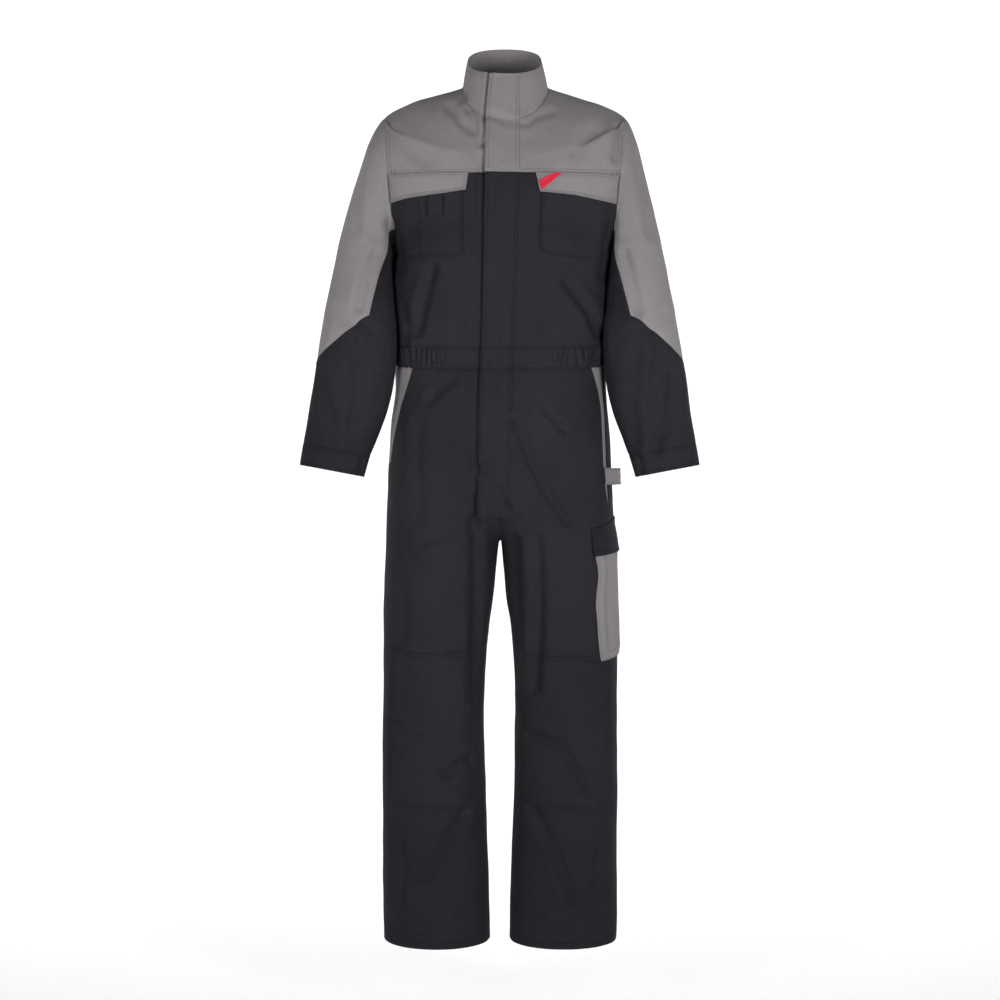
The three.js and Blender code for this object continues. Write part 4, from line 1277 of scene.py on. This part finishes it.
kneePatches = {
    'knee_patch_left': {
        'top': [(45, -1046), (72, -1052), (160, -1051), (207, -1066)],
        'bottom': [(41, -1325), (84, -1339), (176, -1345), (209, -1333)],
        'thick': 2.1, 'cloth': 'dark', 'on': ['leg_front_left'],
    },
    'knee_patch_right': {
        'top': [(-204, -1034), (-178, -1043), (-128, -1047), (-58, -1043)],
        'bottom': [(-212, -1322), (-195, -1333), (-111, -1344), (-60, -1337)],
        'thick': 2.1, 'cloth': 'dark', 'on': ['leg_front_right'],
    },
}

for group in (flyCover, chest, sidePieces, kneePatches):
    for node, form in group.items():
        layLayer(node, form)
print('layers laid:', len(layers))


# Stitching: one stitch, modelled once and copied along every sewn line

thread = {
    'length': 3.5,
    'pitch': 4.1,
    'width': 1.1,
    'height': 0.6,
    'stand': 0.12,       # above the cloth
}


# Corners and faces of the active primitive, shaped in edit mode and then taken away
def takeTemplate(shape):
    made = bpy.context.active_object
    bpy.ops.object.mode_set(mode='EDIT')
    bpy.ops.mesh.select_all(action='SELECT')
    shape()
    bpy.ops.object.mode_set(mode='OBJECT')
    points = np.array([v.co[:] for v in made.data.vertices])
    polygons = [list(p.vertices) for p in made.data.polygons]
    bpy.data.objects.remove(made)
    return points, polygons


def shapeStitch():
    size = (thread['length'] / 2, thread['width'] / 2, thread['height'] / 2)
    bpy.ops.transform.rotate(value=math.radians(90), orient_axis='Y', center_override=(0, 0, 0))
    bpy.ops.transform.resize(value=size)


bpy.ops.object.select_all(action='DESELECT')
bpy.ops.mesh.primitive_uv_sphere_add(segments=5, ring_count=3, radius=1)
stitchPoints, stitchPolygons = takeTemplate(shapeStitch)
rowsSewn = {'greyThread': [], 'darkThread': []}


# Places of the stitches on a line of points, at an even pitch, with their directions
def sewLine(colour, line, normals):
    line, normals = np.asarray(line), np.asarray(normals)
    pitch = thread['pitch']
    steps = np.linalg.norm(np.diff(line, axis=0), axis=1)
    run = np.concatenate([[0], np.cumsum(steps)])
    if run[-1] < 2 * pitch:
        return
    at = np.arange(pitch / 2, run[-1] - pitch / 2, pitch)
    place = np.stack([np.interp(at, run, line[:, k]) for k in range(3)], axis=1)
    ahead = np.stack([np.interp(at + 0.6, run, line[:, k]) for k in range(3)], axis=1)
    up = np.stack([np.interp(at, run, normals[:, k]) for k in range(3)], axis=1)
    rowsSewn[colour].append((place + up * thread['stand'], ahead - place, up))


def sewStitches(colour, name):
    place, along, up = (np.concatenate([row[k] for row in rowsSewn[colour]]) for k in range(3))
    along /= np.maximum(np.linalg.norm(along, axis=1, keepdims=True), 1e-9)
    side = np.cross(up, along)
    side /= np.maximum(np.linalg.norm(side, axis=1, keepdims=True), 1e-9)
    up = np.cross(along, side)
    turned = np.stack([along, side, up], axis=1)
    points = np.einsum('vk,nkj->nvj', stitchPoints, turned) + place[:, None]
    shift = np.arange(len(place)) * len(stitchPoints)
    polygons = [[k + start for k in p] for start in shift.tolist() for p in stitchPolygons]
    piece = newPiece(name, points.reshape(-1, 3) * mm, polygons)
    piece.data.materials.append(cloths[colour])
    selectOnly(piece)
    bpy.ops.object.shade_smooth()
    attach(piece, 'root')
    print(name, len(place), 'stitches')


# A seam's edges in a row of lines
def chain(edges):
    links = {}
    for a, b in edges.tolist():
        links.setdefault(a, []).append(b)
        links.setdefault(b, []).append(a)
    lines = []
    while links:
        ends = [v for v, joined in links.items() if len(joined) == 1]
        here = ends[0] if ends else next(iter(links))
        line = [here]
        while links.get(here):
            ahead = links[here].pop()
            links[ahead].remove(here)
            line.append(ahead)
            here = ahead
        links = {v: joined for v, joined in links.items() if joined}
        lines.append(line)
    return lines


wholeSheet = BVHTree.FromPolygons(finePoints.tolist(), fineQuads.tolist())
quadsAt = {}
for number, quad in enumerate(fineQuads.tolist()):
    for corner in quad:
        quadsAt.setdefault(corner, []).append(number)
quadCentres = finePoints[fineQuads].mean(axis=1)


# Rows of stitches beside a seam, on one of its panels, at each distance from it
def sewSeam(colour, onto, other, distances=(2.2, 8.5)):
    pair = tuple(sorted((onto, other))) if other else (onto, '')
    owner = panelNames.index(onto)
    for line in chain(seams[pair]):
        points = finePoints[line]
        along = np.gradient(points, axis=0)
        along /= np.maximum(np.linalg.norm(along, axis=1, keepdims=True), 1e-9)
        beside = np.array([quadCentres[[q for q in quadsAt[v] if fineOwner[q] == owner]].mean(axis=0)
                           for v in line]) - points
        beside -= (beside * along).sum(axis=1, keepdims=True) * along
        beside /= np.maximum(np.linalg.norm(beside, axis=1, keepdims=True), 1e-9)
        for distance in distances:
            hits = [wholeSheet.find_nearest(p) for p in (points + beside * distance).tolist()]
            sewLine(colour, [tuple(h[0]) for h in hits], [tuple(h[1]) for h in hits])


# Rows on a layer, in shares of its width and height, from one place to the next
def sewPath(colour, node, path):
    surface, normal = layers[node]['surface'], layers[node]['normal']
    rows, columns = surface.shape[:2]
    line, normals = [], []
    for (s0, t0), (s1, t1) in zip(path, path[1:]):
        for k in np.linspace(0, 1, 40):
            s, t = lerp(s0, s1, k) * (columns - 1), lerp(t0, t1, k) * (rows - 1)
            j, i = min(int(s), columns - 2), min(int(t), rows - 2)
            for values, made in ((surface, line), (normal, normals)):
                upper = lerp(values[i, j], values[i, j + 1], s - j)
                lower = lerp(values[i + 1, j], values[i + 1, j + 1], s - j)
                made.append(lerp(upper, lower, t - i))
    sewLine(colour, line, normals)


def sewEdges(colour, node, sides, distances=(2.4, 8)):
    for away in distances:
        s, t = away / layers[node]['wide'], away / layers[node]['tall']
        lines = {'left': [(s, t), (s, 1 - t)], 'right': [(1 - s, t), (1 - s, 1 - t)],
                 'top': [(s, t), (1 - s, t)], 'bottom': [(s, 1 - t), (1 - s, 1 - t)]}
        for side in sides.split():
            sewPath(colour, node, lines[side])


def sewSuit():
    for side in ('left', 'right'):
        front, under = f'body_front_{side}', f'waistband_front_{side}'
        sewSeam('greyThread', f'yoke_front_{side}', front, (2.2, 6.5))
        sewSeam('greyThread', 'yoke_back', f'yoke_front_{side}')
        sewSeam('darkThread', 'body_back', front)
        sewSeam('darkThread', under, front, (3, 8))
        sewSeam('darkThread', under, f'leg_front_{side}', (3,))
        sewSeam('darkThread', f'leg_front_{side}', f'leg_back_{side}')
        sewSeam('darkThread', f'leg_front_{side}', '', (12,))
        sewSeam('darkThread', f'leg_back_{side}', '', (12,))
        sewSeam('greyThread', f'yoke_front_{side}', f'sleeve_upper_{side}')
        sewSeam('greyThread', 'yoke_back', f'sleeve_upper_{side}')
        for panel in (front, 'body_back'):
            sewSeam('darkThread', panel, f'sleeve_lower_{side}')
        sewSeam('darkThread', f'sleeve_lower_{side}', f'sleeve_upper_{side}')
        sewSeam('darkThread', f'cuff_{side}', f'sleeve_lower_{side}', (2.2, 7))
        sewSeam('darkThread', f'cuff_{side}', '', (6,))
        sewSeam('greyThread', 'collar', f'yoke_front_{side}', (3,))
        sewSeam('darkThread', 'waistband_back', f'leg_back_{side}', (2.5,))
    sewSeam('greyThread', 'yoke_back', 'body_back', (2.2, 6.5))
    sewSeam('greyThread', 'collar', 'yoke_back', (3,))
    sewSeam('greyThread', 'collar', '', (3, 9))
    sewSeam('darkThread', 'waistband_back', 'body_back', (3, 8))
    sewSeam('darkThread', 'leg_back_left', 'leg_back_right')
    sewSeam('darkThread', 'leg_front_left', 'leg_front_right')
    for node, colour in (('fly_cover_upper', 'greyThread'), ('fly_cover_lower', 'darkThread')):
        sewEdges(colour, node, 'right', (3, 9))
        sewEdges(colour, node, 'left', (3.5,))
    for side in ('left', 'right'):
        sewEdges('darkThread', f'chest_pocket_{side}', 'left right bottom')
        sewEdges('greyThread', f'chest_flap_{side}', 'left right bottom', (2.6, 8))
        sewEdges('greyThread', f'chest_flap_{side}', 'top', (2.4, 7))
        sewEdges('darkThread', f'knee_patch_{side}', 'left right top bottom', (2.6, 8.5))
    sewPath('darkThread', 'chest_pocket_right', [(0.28, 0.02), (0.37, 0.97)])
    sewEdges('darkThread', 'pocket_strap', 'left right bottom', (2.2,))
    sewEdges('greyThread', 'cargo_pocket', 'left right bottom', (2.4, 16))
    sewEdges('darkThread', 'cargo_flap', 'left right bottom top', (2.4, 8))
    sewEdges('greyThread', 'hammer_loop', 'top bottom', (3,))
    sewStitches('greyThread', 'stitches_grey')
    sewStitches('darkThread', 'stitches_dark')


sewSuit()


# Zip teeth, on the tape behind the cover

zipTeeth = {'pitch': 3.6, 'size': (2.6, 1.2, 0.9), 'bevel': 0.25, 'apart': 1.5, 'ahead': 0.35}


def shapeTooth():
    bpy.ops.transform.resize(value=zipTeeth['size'])
    bpy.ops.mesh.bevel(offset=zipTeeth['bevel'], segments=1)


def addZipTeeth():
    bpy.ops.object.select_all(action='DESELECT')
    bpy.ops.mesh.primitive_cube_add(size=1)
    shape, faces = takeTemplate(shapeTooth)
    surface = layers['zip_tape']['surface']
    middle = surface[:, surface.shape[1] // 2]
    run = np.concatenate([[0], np.cumsum(np.linalg.norm(np.diff(middle, axis=0), axis=1))])
    points, polygons = [], []
    for number, at in enumerate(np.arange(2, run[-1] - 2, zipTeeth['pitch'] / 2)):
        place = np.array([np.interp(at, run, middle[:, k]) for k in range(3)])
        place[0] += zipTeeth['apart'] * (1 if number % 2 else -1)
        place[1] -= zipTeeth['ahead']
        start = len(points)
        points += (shape + place).tolist()
        polygons += [[k + start for k in face] for face in faces]
    piece = newPiece('zip_teeth', np.array(points) * mm, polygons)
    piece.data.materials.append(cloths['tape'])
    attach(piece, 'root')


addZipTeeth()
print('zip teeth added')


# Studio: a pale floor that curves up behind the suit

studio = {'radius': 7, 'height': 6, 'curve': 1.8, 'sides': 96}


def addStudio():
    bpy.ops.object.select_all(action='DESELECT')
    bpy.ops.mesh.primitive_circle_add(vertices=studio['sides'], radius=studio['radius'],
                                      fill_type='NGON', location=(0, 0, view['floor'] * mm))
    backdrop = bpy.context.active_object
    backdrop.name = 'backdrop'
    bpy.ops.object.transform_apply(location=True)
    bpy.ops.object.mode_set(mode='EDIT')
    bpy.ops.mesh.select_mode(type='EDGE')
    bpy.ops.mesh.select_all(action='SELECT')
    bpy.ops.mesh.extrude_edges_move(TRANSFORM_OT_translate={'value': (0, 0, studio['height'])})
    bpy.ops.mesh.select_all(action='DESELECT')
    mesh = bmesh.from_edit_mesh(backdrop.data)
    for edge in mesh.edges:
        edge.select = all(v.co.z < view['floor'] * mm + 0.01 for v in edge.verts)
    bmesh.update_edit_mesh(backdrop.data)
    bpy.ops.mesh.bevel(offset=studio['curve'], segments=16, profile=0.5)
    bpy.ops.object.mode_set(mode='OBJECT')
    bpy.ops.object.shade_smooth()
    paper = Tree('backdropPaper')
    paper.shader.inputs['Base Color'].default_value = (0.93, 0.93, 0.93, 1)
    paper.shader.inputs['Roughness'].default_value = 0.95
    paper.shader.inputs['Emission Strength'].default_value = 0.09
    paper.shader.inputs['Emission Color'].default_value = (1, 1, 1, 1)
    backdrop.data.materials.append(paper.material)


addStudio()
bpy.context.scene.view_settings.view_transform = 'Standard'
bpy.context.view_layer.update()
print('studio ready')
